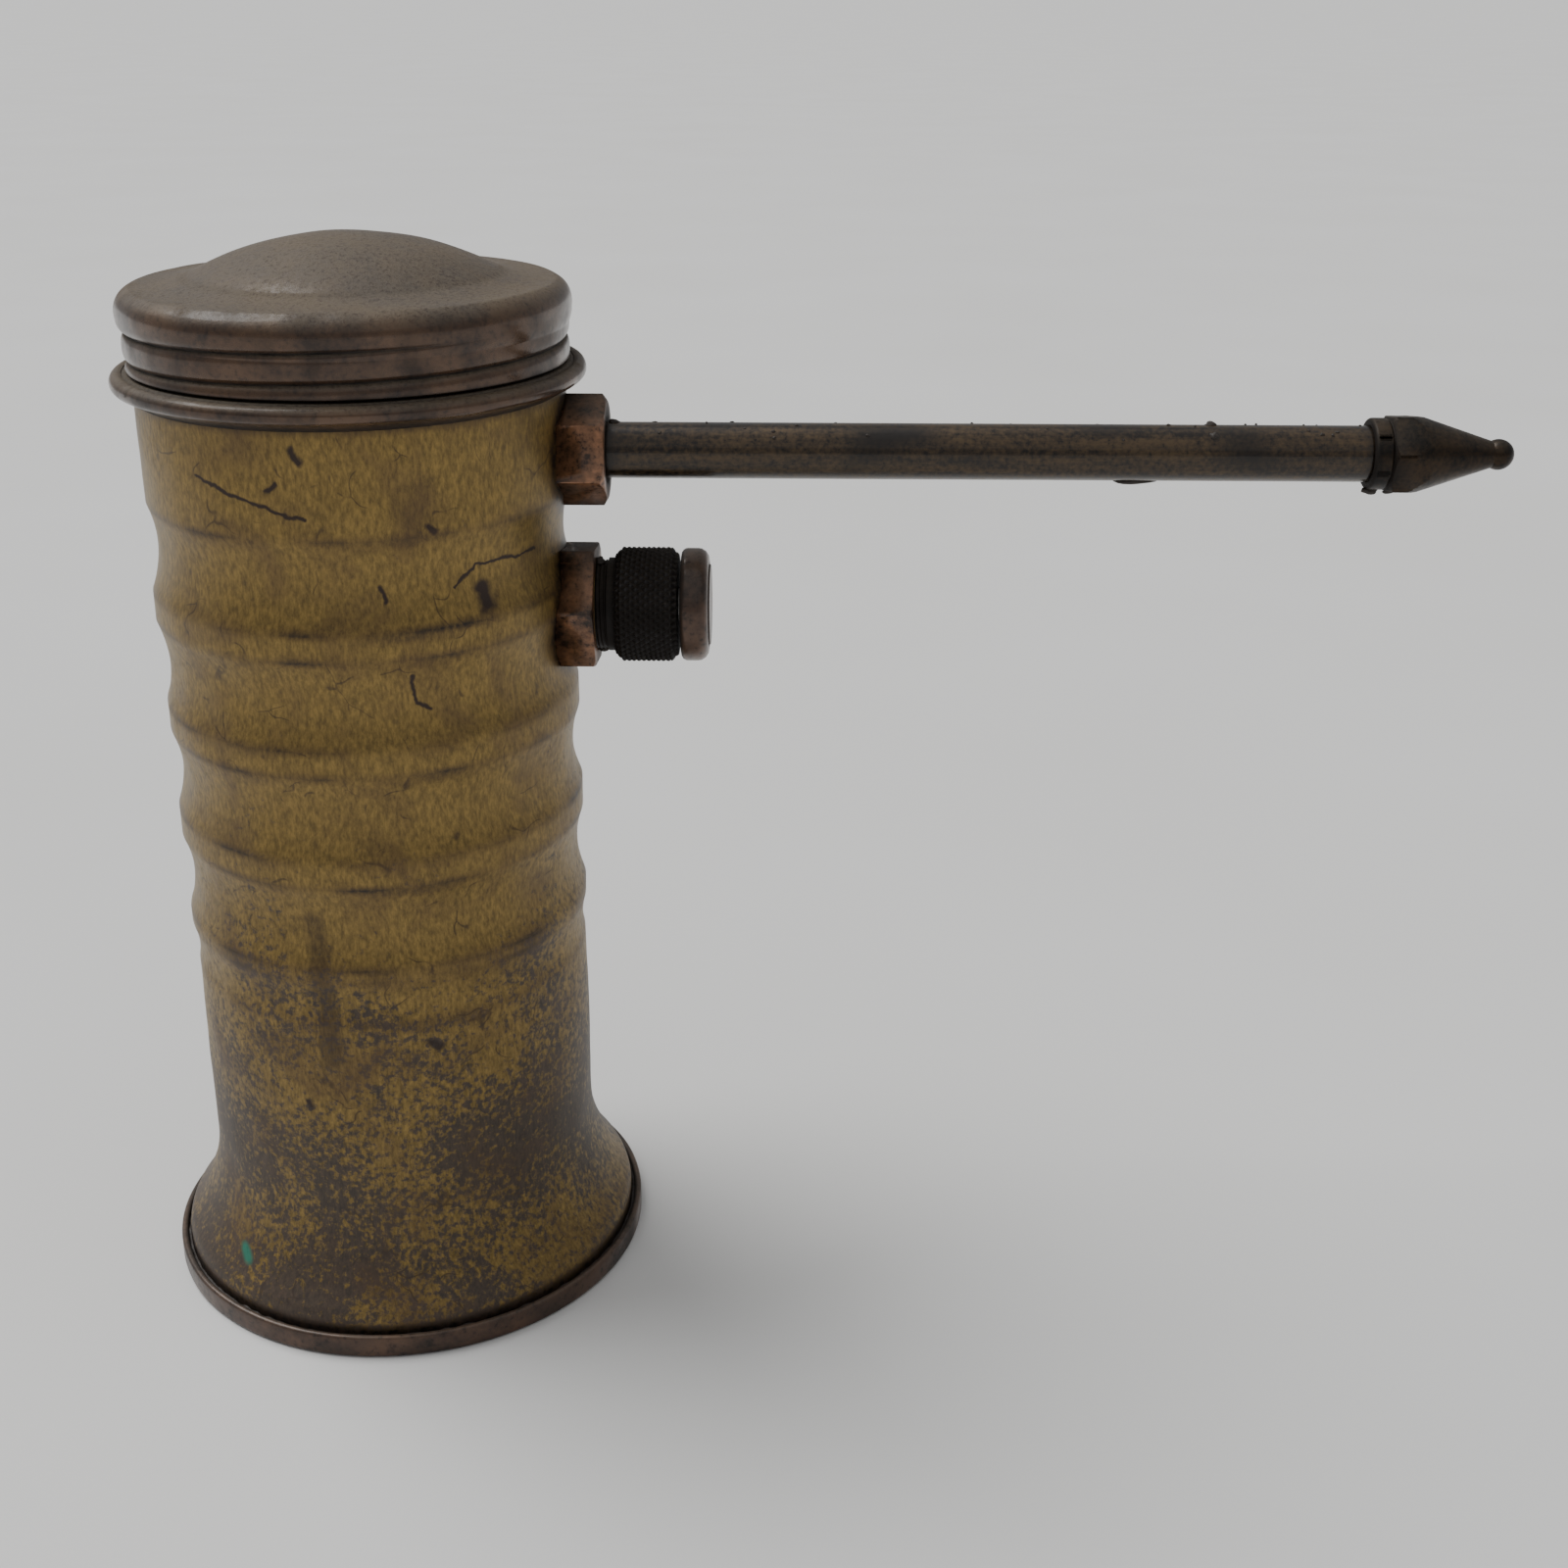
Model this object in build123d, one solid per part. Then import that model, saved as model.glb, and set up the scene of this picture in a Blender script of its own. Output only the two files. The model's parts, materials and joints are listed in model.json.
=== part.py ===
from build123d import *
import math
import os

# Thumb-pump oil gun: a turned-out brass reservoir with a screwed filler cap, a straight
# spout and, under it, a push-button pump whose barrel lies across the reservoir.
# Origin: middle of the flat underside, on the reservoir's axis. +Z up, +X towards the spout.
# Millimetres.

# Clearances
running_gap = 0.06
seat_gap = 0.02
free_gap = 0.3
wall_gap = 0.05
overrun = 1.0  # how far a cutter runs past the face it opens
overlap = 0.5  # how far shapes that become one solid run into each other

# Reservoir shell
body_radius = 23.8
wall = 0.7
body_top = 110.4
flare_top = 18.0
flare_radius = 20.7
flare_turn = 37.15
roll_radius = 3.2
land_rise = 0.2
roll_count = 4
first_roll_top = 98.8
roll_pitch = 13.3
roll_height = 10.2
roll_depth = 0.95
worn_roll_height = 5.6
worn_roll_depth = 0.35

# Base pan
pan_floor = 0.8
pan_rim_height = 2.9
pan_rim_wall = 0.85
pan_gap = 0.5
pan_edge_round = 0.4
rim_round_share = 0.45

# Neck collar and filler cap
thread_lead = 3.175
neck_wall = 0.75
neck_drop = 1.2
neck_height = 9.5
bead_radius = 1.2
bead_reach = 2.4
ledge_height = 2.9
neck_thread_turns = 1.25
neck_thread_size = 0.5
cap_sheet = 0.55
cap_play = 0.4
cap_skirt_wall = 1.2
cap_groove_size = 0.65
cap_hollow_size = 0.8
thread_inset = 0.05
lip_gap = 0.3
rim_bead_start = 5.0
rim_bead_height = 2.4
rim_bead_proud = 0.3
inner_shoulder = 1.0
shoulder_round = 1.6
dome_radius = 17.0
dome_rise = 4.1
shoulder_rise = 0.8
outer_groove_turns = 1.89
gasket_thickness = 2.0
gasket_width = 6.5

# Spout
spout_z = 103.3
spout_radius = 3.175
spout_bore = 2.3
spout_reach = 91.4
spout_nut_flats = 11.0
spout_nut_turn = -6.0
spout_nut_reach = 4.65
spout_nut_chamfer = 0.8
spout_nut_sink = 1.6
spout_nut_web = 2.2
spout_neck_radius = 4.3
spout_neck_inset = 8.2
tube_socket = 3.0
lock_nut_flats = 11.0
lock_nut_length = 3.0
seal_thickness = 0.9
seal_radius = 5.6

# Nozzle
nozzle_collar_radius = 4.05
nozzle_collar_length = 2.0
nozzle_flats = 8.25
nozzle_turn = 20.0
nozzle_hex_length = 2.3
nozzle_cone_length = 10.0
nozzle_neck_radius = 1.35
nozzle_ball_radius = 1.75
nozzle_reach = 16.3
nozzle_grip = 0.4
hex_run_out = 2.5
nozzle_jet = 0.5
nozzle_socket_depth = 3.6

# Pump
pump_z = 84.95
barrel_radius = 4.95
barrel_bore = 3.6
barrel_inner_end = -17.0
barrel_flange_radius = 7.0
barrel_flange_length = 1.8
barrel_nut_flats = 13.5
barrel_nut_turn = 22.0
barrel_nut_reach = 3.0
barrel_nut_sink = 2.2
barrel_nut_chamfer = 0.45
valve_x = -11.0
stroke = 10.0
rod_radius = 1.9
rod_step = 0.5
guide_length = 4.0
packing_length = 2.4
follower_length = 1.9
follower_flange = 0.5
follower_inset = 0.1
gland_stand_off = 1.4
gland_length = 8.1
gland_thread_length = 5.4
gland_radius = 6.7
gland_boss_radius = 5.45
gland_boss_length = 0.8
gland_chamfer = 0.8
button_gap = 0.35
button_radius = 6.6
button_length = 3.2
button_round = 1.3
button_back_round = 0.7
button_disc_radius = 4.7
button_disc_length = 0.2
piston_nut_length = 1.6
piston_washer_length = 0.8
piston_washer_gap = 0.5
piston_nut_flats = 4.0
cup_length = 2.6
cup_wall = 0.6
return_wire = 0.5
return_coils = 9
plug_length = 3.0
plug_slot = 1.0

# Valves and pipes
port_radius = 0.9
valve_radius = 3.4
valve_bore = 2.0
valve_length = 7.0
inlet_seat_drop = 4.5
inlet_foot = 3.2
seat_web = 1.2
saddle_depth = 1.2
pipe_socket = 1.4
ball_radius = 1.5
seat_hole = 1.0
ball_lift = 1.0
pin_radius = 0.4
pin_sink = 0.2
valve_wire = 0.3
valve_coils = 4
spring_perch = 0.75
pipe_radius = 1.6
pipe_bore = 1.0
pipe_bend = 4.5
pipe_to_tube = 1.5
suction_foot = 3.4
suction_gap = 1.0
strainer_radius = 3.0
strainer_length = 8.0
strainer_wall = 0.4
strainer_lid = 0.8
strainer_hole = 0.5
strainer_rows = 3
strainer_row_pitch = 1.7
strainer_columns = 8

# Places that follow from the sizes above
inner_radius = body_radius - wall
neck_radius = inner_radius - wall_gap
neck_bore = neck_radius - neck_wall
ledge_z = body_top + ledge_height
neck_top = body_top + neck_height
cap_inner_radius = neck_radius + cap_play
cap_radius = cap_inner_radius + cap_skirt_wall
lip_z = ledge_z + lip_gap
thread_pitch_offset = thread_lead / 2
gasket_top = neck_top + gasket_thickness
shoulder_z = gasket_top + cap_sheet + seat_gap
land_radius = body_radius + land_rise
skirt_reach = (flare_radius + roll_radius) * (1 - math.cos(math.radians(flare_turn)))
skirt_radius = body_radius + skirt_reach
pan_radius = skirt_radius + pan_gap + pan_rim_wall
spout_nut_end = body_radius + spout_nut_reach
spout_neck_start = body_radius - spout_neck_inset
spout_neck_end = spout_nut_end - spout_nut_web - seat_gap
tube_start = body_radius - tube_socket
spout_end = body_radius + spout_reach
nozzle_end = spout_end + nozzle_reach
barrel_nut_end = body_radius + barrel_nut_reach
gland_start = barrel_nut_end + gland_stand_off
gland_end = gland_start + gland_length
barrel_outer_end = gland_start + gland_thread_length
button_start = gland_end + button_gap
stem_radius = rod_radius - rod_step


def radial_cylinder(radius, x_from, x_to, z, y=0):
    """Round bar lying along X."""
    bar = Cylinder(radius, x_to - x_from, align=(Align.CENTER, Align.CENTER, Align.MIN))
    return Pos(x_from, y, z) * Rot(0, 90, 0) * bar


def radial_tube(outer, bore, x_from, x_to, z):
    """Tube lying along X."""
    return radial_cylinder(outer, x_from, x_to, z) - radial_cylinder(
        bore, x_from - overrun, x_to + overrun, z
    )


def upright(radius, z_from, z_to, x=0):
    """Round bar standing along Z."""
    bar = Cylinder(radius, z_to - z_from, align=(Align.CENTER, Align.CENTER, Align.MIN))
    return Pos(x, 0, z_from) * bar


def upright_tube(outer, bore, z_from, z_to, x=0):
    """Tube standing along Z."""
    return upright(outer, z_from, z_to, x) - upright(bore, z_from - overrun, z_to + overrun, x)


def radial_hexagon(flats, x_from, x_to, z, corner_turn):
    """Hexagonal bar lying along X; corner_turn turns it from having corners at top and bottom."""
    profile = RegularPolygon(flats / 2, 6, major_radius=False, rotation=corner_turn)
    return Pos(x_from, 0, z) * Rot(0, 90, 0) * extrude(profile, x_to - x_from)


def chamfered_envelope(flats, x_from, x_to, z, chamfer):
    """Turned shape that takes the corners off a nut's outer end."""
    corner = flats / math.sqrt(3)
    bar = radial_cylinder(corner, x_from, x_to, z)
    return chamfer_end(bar, chamfer)


def chamfer_end(solid, size):
    """Chamfer round the end that faces +X."""
    return chamfer(solid.faces().sort_by(Axis.X)[-1].edges(), size)


def wall_line(step_in):
    """Outer line of the reservoir wall from its top to its foot, moved in by step_in."""
    plain = body_radius - step_in
    land = land_radius - step_in
    skirt = skirt_radius - step_in
    edges = []
    here = (plain, body_top)
    for roll in range(roll_count):
        top = first_roll_top - roll * roll_pitch
        bottom = top - roll_height
        start = plain if roll == 0 else land
        edges.append(Line(here, (start, top)))
        middle = (land - roll_depth, (top + bottom) / 2)
        edges.append(ThreePointArc((start, top), middle, (land, bottom)))
        here = (land, bottom)
    worn_top = first_roll_top - roll_count * roll_pitch + (roll_pitch - roll_height) / 2
    worn_bottom = worn_top - worn_roll_height
    edges.append(Line(here, (land, worn_top)))
    worn_middle = (plain - worn_roll_depth, (worn_top + worn_bottom) / 2)
    edges.append(ThreePointArc((land, worn_top), worn_middle, (plain, worn_bottom)))
    edges.append(Line((plain, worn_bottom), (plain, flare_top)))
    flare = JernArc((plain, flare_top), (0, -1), flare_radius, flare_turn)
    rolled_edge = JernArc(flare @ 1, flare % 1, roll_radius, -flare_turn)
    edges += [flare, rolled_edge, Line(rolled_edge @ 1, (skirt, pan_floor))]
    return edges


def reservoir_solid(step_in):
    """The reservoir as if it were solid, its wall line moved in by step_in."""
    edges = wall_line(step_in)
    foot = edges[-1] @ 1
    edges.append(Polyline(foot, (0, foot.Y), (0, body_top), (body_radius - step_in, body_top)))
    flat = make_face(Curve() + edges)
    return revolve(Plane.XZ * flat, Axis.Z)


def reservoir_shell(outer_form, inner_form):
    """Spun and rolled brass wall with the two holes for the spout and the pump."""
    shell = outer_form - inner_form
    shell -= radial_cylinder(spout_neck_radius + wall_gap, 0, skirt_radius, spout_z)
    shell -= radial_cylinder(barrel_radius + wall_gap, 0, skirt_radius, pump_z)
    return shell


def base_pan():
    """Pressed disc with an upturned rim that holds the foot of the shell."""
    pan = upright(pan_radius, 0, pan_rim_height)
    pan = fillet(pan.edges().group_by(Axis.Z)[0], pan_edge_round)
    pan -= upright(pan_radius - pan_rim_wall, pan_floor, pan_rim_height + overrun)
    return fillet(pan.edges().group_by(Axis.Z)[-1], pan_rim_wall * rim_round_share)


def thread_coil(radius, size, z_at_spout_side, turns):
    """Round-section right-hand coil that starts at +X and climbs by the thread's lead."""
    path = Helix(pitch=thread_lead, height=thread_lead * turns, radius=radius)
    coil = sweep(Plane(path @ 0, z_dir=path % 0) * Circle(size), path=path)
    return Pos(0, 0, z_at_spout_side) * coil


def neck_collar(crest_z):
    """Beaded ring on top of the shell, with the threaded neck that the cap screws on."""
    sleeve = upright_tube(neck_radius, neck_bore, body_top - neck_drop, neck_top)
    bead_centre = body_radius + bead_reach - bead_radius
    web = upright_tube(bead_centre, neck_bore, body_top, ledge_z)
    bead_z = ledge_z - bead_radius
    bead = Pos(0, 0, bead_z) * Torus(bead_centre, bead_radius)
    ridge_radius = neck_radius - thread_inset
    ridge = thread_coil(ridge_radius, neck_thread_size, crest_z, neck_thread_turns)
    return sleeve + web + bead + ridge


def cap_half(side, shoulder, edge_z, top_z, rounded):
    """Half section of the cap's outer or inner side, closed along the axis."""
    bottom = side[0][1]
    start = side[-1]
    corner = Line(start, shoulder)
    if rounded:
        lean = math.sqrt(0.5)
        middle = (
            shoulder[0] + (start[0] - shoulder[0]) * lean,
            start[1] + (shoulder[1] - start[1]) * lean,
        )
        corner = ThreePointArc(start, middle, shoulder)
    slope = Line(shoulder, (dome_radius, edge_z))
    rise = top_z - edge_z
    sphere = (dome_radius**2 + rise**2) / (2 * rise)
    half = dome_radius / 2
    middle_z = top_z - sphere + math.sqrt(sphere**2 - half**2)
    dome = ThreePointArc((dome_radius, edge_z), (half, middle_z), (0, top_z))
    closing = Polyline((0, top_z), (0, bottom), side[0])
    return make_face(Curve() + [Polyline(*side), corner, slope, dome, closing])


def filler_cap(groove_z, crest_z):
    """Thin pressed cap: rolled thread in its skirt, a big rim bead and a domed top."""
    bead_low = lip_z + rim_bead_start
    bead = cap_radius + rim_bead_proud
    edge_z = shoulder_z + shoulder_rise
    top_z = edge_z + dome_rise
    outer_side = [
        (cap_radius, lip_z),
        (cap_radius, bead_low),
        (bead, bead_low + rim_bead_proud),
        (bead, bead_low + rim_bead_height),
    ]
    outer = cap_half(outer_side, (cap_radius - shoulder_round, shoulder_z), edge_z, top_z, True)
    under = shoulder_z - cap_sheet
    inner_side = [(cap_inner_radius, lip_z - overrun), (cap_inner_radius, under)]
    inner = cap_half(
        inner_side,
        (cap_inner_radius - inner_shoulder, under),
        edge_z - cap_sheet,
        top_z - cap_sheet,
        False,
    )
    cap = revolve(Plane.XZ * outer, Axis.Z) - revolve(Plane.XZ * inner, Axis.Z)
    cap -= thread_coil(cap_radius + thread_inset, cap_groove_size, groove_z, outer_groove_turns)
    hollow_start = crest_z - thread_lead
    hollow_turns = (bead_low + rim_bead_proud - hollow_start) / thread_lead
    hollow_radius = cap_inner_radius - thread_inset
    return cap - thread_coil(hollow_radius, cap_hollow_size, hollow_start, hollow_turns)


def cap_gasket():
    """Cork ring in the cap, pressed on the neck's top edge."""
    outer = cap_inner_radius - free_gap
    return upright_tube(outer, outer - gasket_width, neck_top, gasket_top)


def chamfered_nut(flats, start, end, z, corner_turn, chamfer):
    """Hexagon along X with the corners turned off its outer end."""
    nut = radial_hexagon(flats, start, end, z, corner_turn)
    return nut & chamfered_envelope(flats, start, end, z, chamfer)


def spout_nut(wall_form):
    """Outer hexagon of the spout's union, its back hollowed to the reservoir's curve."""
    start = body_radius - spout_nut_sink
    end = spout_nut_end
    nut = chamfered_nut(spout_nut_flats, start, end, spout_z, spout_nut_turn, spout_nut_chamfer)
    nut -= radial_cylinder(spout_neck_radius + running_gap, 0, end - spout_nut_web, spout_z)
    nut -= radial_cylinder(spout_radius + running_gap, 0, end + overrun, spout_z)
    return nut - wall_form


def spout_neck():
    """Threaded bush through the wall that carries the spout tube and the delivery pipe."""
    bush = radial_cylinder(spout_neck_radius, spout_neck_start, spout_neck_end, spout_z)
    bush -= radial_cylinder(spout_radius + seat_gap, tube_start, spout_neck_end + overrun, spout_z)
    return bush - radial_cylinder(pipe_radius + seat_gap, 0, spout_neck_end, spout_z)


def wall_seal(outer, bore, thickness, z, room):
    """Leather washer moulded to the inside of the wall."""
    reach = inner_radius - outer**2 / (2 * inner_radius) - thickness
    ring = radial_tube(outer, bore, reach, body_radius, z)
    return ring & room


def spout_lock_nut():
    """Back nut that pulls the spout's bush tight from inside."""
    reach = inner_radius - seal_radius**2 / (2 * inner_radius) - seal_thickness - seat_gap
    nut = radial_hexagon(lock_nut_flats, reach - lock_nut_length, reach, spout_z, 30)
    bore = radial_cylinder(spout_neck_radius + running_gap, 0, body_radius, spout_z)
    return nut - bore


def spout_tube():
    """Straight drawn tube soldered into the spout's bush."""
    return radial_tube(spout_radius, spout_bore, tube_start + seat_gap, spout_end, spout_z)


def nozzle_tip():
    """Turned nozzle: collar, hexagon, cone and ball end, drilled with a fine jet."""
    start = spout_end - nozzle_grip
    collar_end = start + nozzle_collar_length
    hex_end = collar_end + nozzle_hex_length
    cone_end = hex_end + nozzle_cone_length
    tip = radial_cylinder(nozzle_collar_radius, start, collar_end, spout_z)
    hexagon = radial_hexagon(nozzle_flats, collar_end, hex_end + hex_run_out, spout_z, nozzle_turn)
    corner = nozzle_flats / math.sqrt(3)
    cone = Pos(hex_end, 0, spout_z) * Rot(0, 90, 0) * Cone(
        corner,
        nozzle_neck_radius,
        nozzle_cone_length,
        align=(Align.CENTER, Align.CENTER, Align.MIN),
    )
    blank = radial_cylinder(corner, collar_end, hex_end, spout_z) + cone
    tip += hexagon & blank
    tip += cone & radial_cylinder(nozzle_flats / 2, hex_end, cone_end, spout_z)
    neck_reach = nozzle_end - nozzle_ball_radius
    tip += radial_cylinder(nozzle_neck_radius, cone_end - overlap, neck_reach, spout_z)
    tip += Pos(neck_reach, 0, spout_z) * Sphere(nozzle_ball_radius)
    socket_end = spout_end + running_gap
    tip -= radial_cylinder(spout_radius + running_gap, start - overrun, socket_end, spout_z)
    tip -= radial_cylinder(spout_bore, start, socket_end + nozzle_socket_depth, spout_z)
    return tip - radial_cylinder(nozzle_jet, start, nozzle_end + overrun, spout_z)


def pump_barrel():
    """Tube across the reservoir with its inner flange, ports and outer stuffing box."""
    seal_face = inner_radius - barrel_flange_radius**2 / (2 * inner_radius) - seal_thickness
    flange_end = seal_face - seat_gap
    barrel = radial_cylinder(barrel_radius, barrel_inner_end, barrel_outer_end, pump_z)
    flange_start = flange_end - barrel_flange_length
    barrel += radial_cylinder(barrel_flange_radius, flange_start, flange_end, pump_z)
    barrel -= radial_cylinder(
        barrel_bore, barrel_inner_end - overrun, barrel_outer_end + overrun, pump_z
    )
    reach = barrel_radius + overrun
    return barrel - upright(port_radius, pump_z - reach, pump_z + reach, valve_x)


def barrel_nut(wall_form):
    """Outer hexagon that clamps the pump barrel to the wall, hollowed to its curve."""
    start = body_radius - barrel_nut_sink
    end = barrel_nut_end
    nut = chamfered_nut(barrel_nut_flats, start, end, pump_z, barrel_nut_turn, barrel_nut_chamfer)
    nut -= radial_cylinder(barrel_radius + running_gap, 0, end + overrun, pump_z)
    return nut - wall_form


def barrel_end_plug():
    """Slotted screw plug that closes the barrel's inner end."""
    plug = radial_cylinder(
        barrel_bore - seat_gap, barrel_inner_end, barrel_inner_end + plug_length, pump_z
    )
    slot = Pos(barrel_inner_end, 0, pump_z) * Box(2 * plug_slot, 2 * barrel_radius, plug_slot)
    return plug - slot


def guide_start():
    """Where the rod guide begins inside the barrel."""
    return barrel_outer_end - guide_length - packing_length - follower_length + follower_flange


def rod_guide():
    """Bush pressed into the barrel that guides the rod and stops the piston."""
    start = guide_start()
    return radial_tube(
        barrel_bore - seat_gap, rod_radius + running_gap, start, start + guide_length, pump_z
    )


def packing_rings():
    """Two greased cord rings squeezed round the rod."""
    start = guide_start() + guide_length
    half = packing_length / 2
    rings = []
    for place in (start, start + half + seat_gap):
        rings.append(
            radial_tube(
                barrel_bore - seat_gap,
                rod_radius + running_gap,
                place + seat_gap,
                place + half - seat_gap,
                pump_z,
            )
        )
    return Compound(children=rings)


def gland_follower():
    """Flanged ring that the gland nut pushes on to the packing."""
    start = guide_start() + guide_length + packing_length + seat_gap
    end = barrel_outer_end + follower_flange + seat_gap
    ring = radial_cylinder(barrel_bore - running_gap, start, end, pump_z)
    ring += radial_cylinder(barrel_radius - follower_inset, barrel_outer_end + seat_gap, end, pump_z)
    return ring - radial_cylinder(rod_radius + running_gap, start - overrun, end + overrun, pump_z)


def gland_nut():
    """Round nut with a plain boss; its knurling is left to the finish."""
    body_start = gland_start + gland_boss_length
    nut = radial_cylinder(gland_radius, body_start, gland_end, pump_z)
    nut = chamfer(nut.edges().filter_by(GeomType.CIRCLE), gland_chamfer)
    nut += radial_cylinder(gland_boss_radius, gland_start, body_start + overlap, pump_z)
    inner_face = barrel_outer_end + follower_flange + 2 * seat_gap
    nut -= radial_cylinder(barrel_radius + running_gap, gland_start - overrun, inner_face, pump_z)
    return nut - radial_cylinder(rod_radius + running_gap, 0, gland_end + overrun, pump_z)


def piston_start():
    """Inner end of the piston stack with the button pushed in."""
    stack = piston_nut_length + 2 * piston_washer_length + cup_length
    return guide_start() - stroke - stack - free_gap


def plunger_rod():
    """Rod from the button's socket to the piston nut, with a shoulder for the stack."""
    start = piston_start()
    shoulder = start + piston_nut_length + 2 * piston_washer_length + cup_length
    rod = radial_cylinder(stem_radius, start, shoulder, pump_z)
    return rod + radial_cylinder(rod_radius, shoulder, button_start + button_length / 2, pump_z)


def on_rod(outer, length, place):
    """Ring threaded on the thin inner end of the rod."""
    start = place + seat_gap / 2
    return radial_tube(outer, stem_radius + seat_gap, start, start + length - seat_gap, pump_z)


def piston_nut():
    """Small hexagon nut at the rod's inner end."""
    start = piston_start()
    end = start + piston_nut_length - seat_gap
    nut = radial_hexagon(piston_nut_flats, start, end, pump_z, 0)
    return nut - radial_cylinder(stem_radius + seat_gap, start - overrun, end + overrun, pump_z)


def cup_room():
    """Radius inside the leather cup's lip."""
    return barrel_bore - running_gap - cup_wall


def piston_washers():
    """Brass washers on both sides of the leather cup."""
    first = piston_start() + piston_nut_length
    second = first + piston_washer_length + cup_length
    inner = on_rod(cup_room() - seat_gap, piston_washer_length, first)
    outer = on_rod(barrel_bore - piston_washer_gap, piston_washer_length, second)
    return Compound(children=[inner, outer])


def piston_cup():
    """Leather cup whose lip faces the pump chamber."""
    base = piston_start() + piston_nut_length + piston_washer_length
    lip = base - piston_washer_length
    end = base + cup_length
    cup = radial_cylinder(barrel_bore - running_gap, lip, end, pump_z)
    cup -= radial_cylinder(cup_room(), lip - overrun, base, pump_z)
    return cup - radial_cylinder(stem_radius + seat_gap, lip, end + overrun, pump_z)


def coil_spring(wire, mean_radius, length, coils):
    """Open coil spring standing on Z from 0 to its length."""
    rise = length - wire
    path = Helix(pitch=rise / coils, height=rise, radius=mean_radius)
    coil = sweep(Plane(path @ 0, z_dir=path % 0) * Circle(wire / 2), path=path)
    return Pos(0, 0, wire / 2) * coil


def return_spring():
    """Spring between the end plug and the piston that pushes the button out."""
    start = barrel_inner_end + plug_length + seat_gap
    length = piston_start() + piston_nut_length - seat_gap - start
    mean = piston_nut_flats / math.sqrt(3) + running_gap + return_wire / 2
    coil = coil_spring(return_wire, mean, length, return_coils)
    return Pos(start, 0, pump_z) * Rot(0, 90, 0) * coil


def plunger_button():
    """Domed-edge push button with a small disc on its face."""
    end = button_start + button_length
    button = radial_cylinder(button_radius, button_start, end, pump_z)
    edges = button.edges().filter_by(GeomType.CIRCLE).sort_by(Axis.X)
    button = fillet(edges[-1], button_round)
    button = fillet(button.edges().filter_by(GeomType.CIRCLE).sort_by(Axis.X)[0], button_back_round)
    button += radial_cylinder(button_disc_radius, end - overlap, end + button_disc_length, pump_z)
    socket_end = button_start + button_length / 2
    return button - radial_cylinder(rod_radius + seat_gap, button_start - overrun, socket_end, pump_z)


def saddle_cut():
    """The barrel's outside, used to shape what is brazed to it."""
    return radial_cylinder(barrel_radius + seat_gap, barrel_inner_end, barrel_outer_end, pump_z)


def inlet_seat_z():
    """Height of the sharp edge that the inlet ball sits on."""
    return pump_z - barrel_radius - inlet_seat_drop


def inlet_valve_body():
    """Chest below the barrel: seat at its bottom, ball above, pipe socket underneath."""
    top = pump_z - barrel_radius + saddle_depth
    seat = inlet_seat_z()
    foot = seat - inlet_foot
    chest = upright(valve_radius, foot, top, valve_x) - saddle_cut()
    chest -= upright(valve_bore, seat, top + overrun, valve_x)
    chest -= upright(seat_hole, foot, seat + overrun, valve_x)
    chest -= upright(pipe_radius + seat_gap, foot - overrun, seat - seat_web, valve_x)
    return chest - across_pin(pin_radius + seat_gap, overrun)


def ball_seat_rise():
    """Height of a seated ball's centre over the seat's edge."""
    return math.sqrt(ball_radius**2 - seat_hole**2) + seat_gap


def across_pin(radius, past):
    """Pin along Y over the inlet ball, whose ends stand past the chest's sides."""
    z = inlet_seat_z() + ball_seat_rise() + ball_radius + ball_lift + pin_radius + seat_gap
    pin = Cylinder(radius, 2 * (valve_radius + past))
    return Pos(valve_x, 0, z) * Rot(90, 0, 0) * pin


def ball_retaining_pin():
    """Cross pin that keeps the inlet ball from lifting too far."""
    return across_pin(pin_radius, -pin_sink)


def inlet_ball():
    """Steel ball on the inlet seat."""
    return Pos(valve_x, 0, inlet_seat_z() + ball_seat_rise()) * Sphere(ball_radius)


def outlet_seat_z():
    """Height of the edge that the outlet ball sits on, just over the barrel."""
    return pump_z + barrel_radius + seat_web


def outlet_top():
    """Top of the outlet valve chest."""
    return outlet_seat_z() + valve_length


def outlet_valve_body():
    """Chest above the barrel: seat, ball and spring, and the delivery pipe's socket on top."""
    seat = outlet_seat_z()
    foot = pump_z + barrel_radius - saddle_depth
    chest = upright(valve_radius, foot, outlet_top(), valve_x) - saddle_cut()
    chest -= upright(valve_bore, seat, pipe_end_z(), valve_x)
    chest -= upright(seat_hole, foot - overrun, seat + overrun, valve_x)
    return chest - upright(pipe_radius + seat_gap, seat, outlet_top() + overrun, valve_x)


def outlet_ball():
    """Steel ball held on the outlet seat by its spring."""
    return Pos(valve_x, 0, outlet_seat_z() + ball_seat_rise()) * Sphere(ball_radius)


def outlet_spring():
    """Light spring between the outlet ball and the end of the delivery pipe."""
    start = outlet_seat_z() + ball_seat_rise() + ball_radius * spring_perch
    length = pipe_end_z() - seat_gap - start
    coil = coil_spring(valve_wire, (pipe_radius + pipe_bore) / 2, length, valve_coils)
    return Pos(valve_x, 0, start) * coil


def pipe_end_z():
    """Lower end of the delivery pipe inside the outlet chest."""
    return outlet_top() - pipe_socket


def delivery_pipe():
    """Bent pipe from the outlet valve up and across to the spout's bush."""
    corner = (valve_x, spout_z)
    rise = Line((valve_x, pipe_end_z()), (corner[0], corner[1] - pipe_bend))
    bend = JernArc(rise @ 1, (0, 1), pipe_bend, -90)
    run = Line(bend @ 1, (tube_start - pipe_to_tube, spout_z))
    path = Plane.XZ * (Curve() + [rise, bend, run])
    start = Plane(origin=(valve_x, 0, pipe_end_z()), z_dir=(0, 0, 1))
    return sweep(start * Circle(pipe_radius), path=path) - sweep(start * Circle(pipe_bore), path=path)


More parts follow.
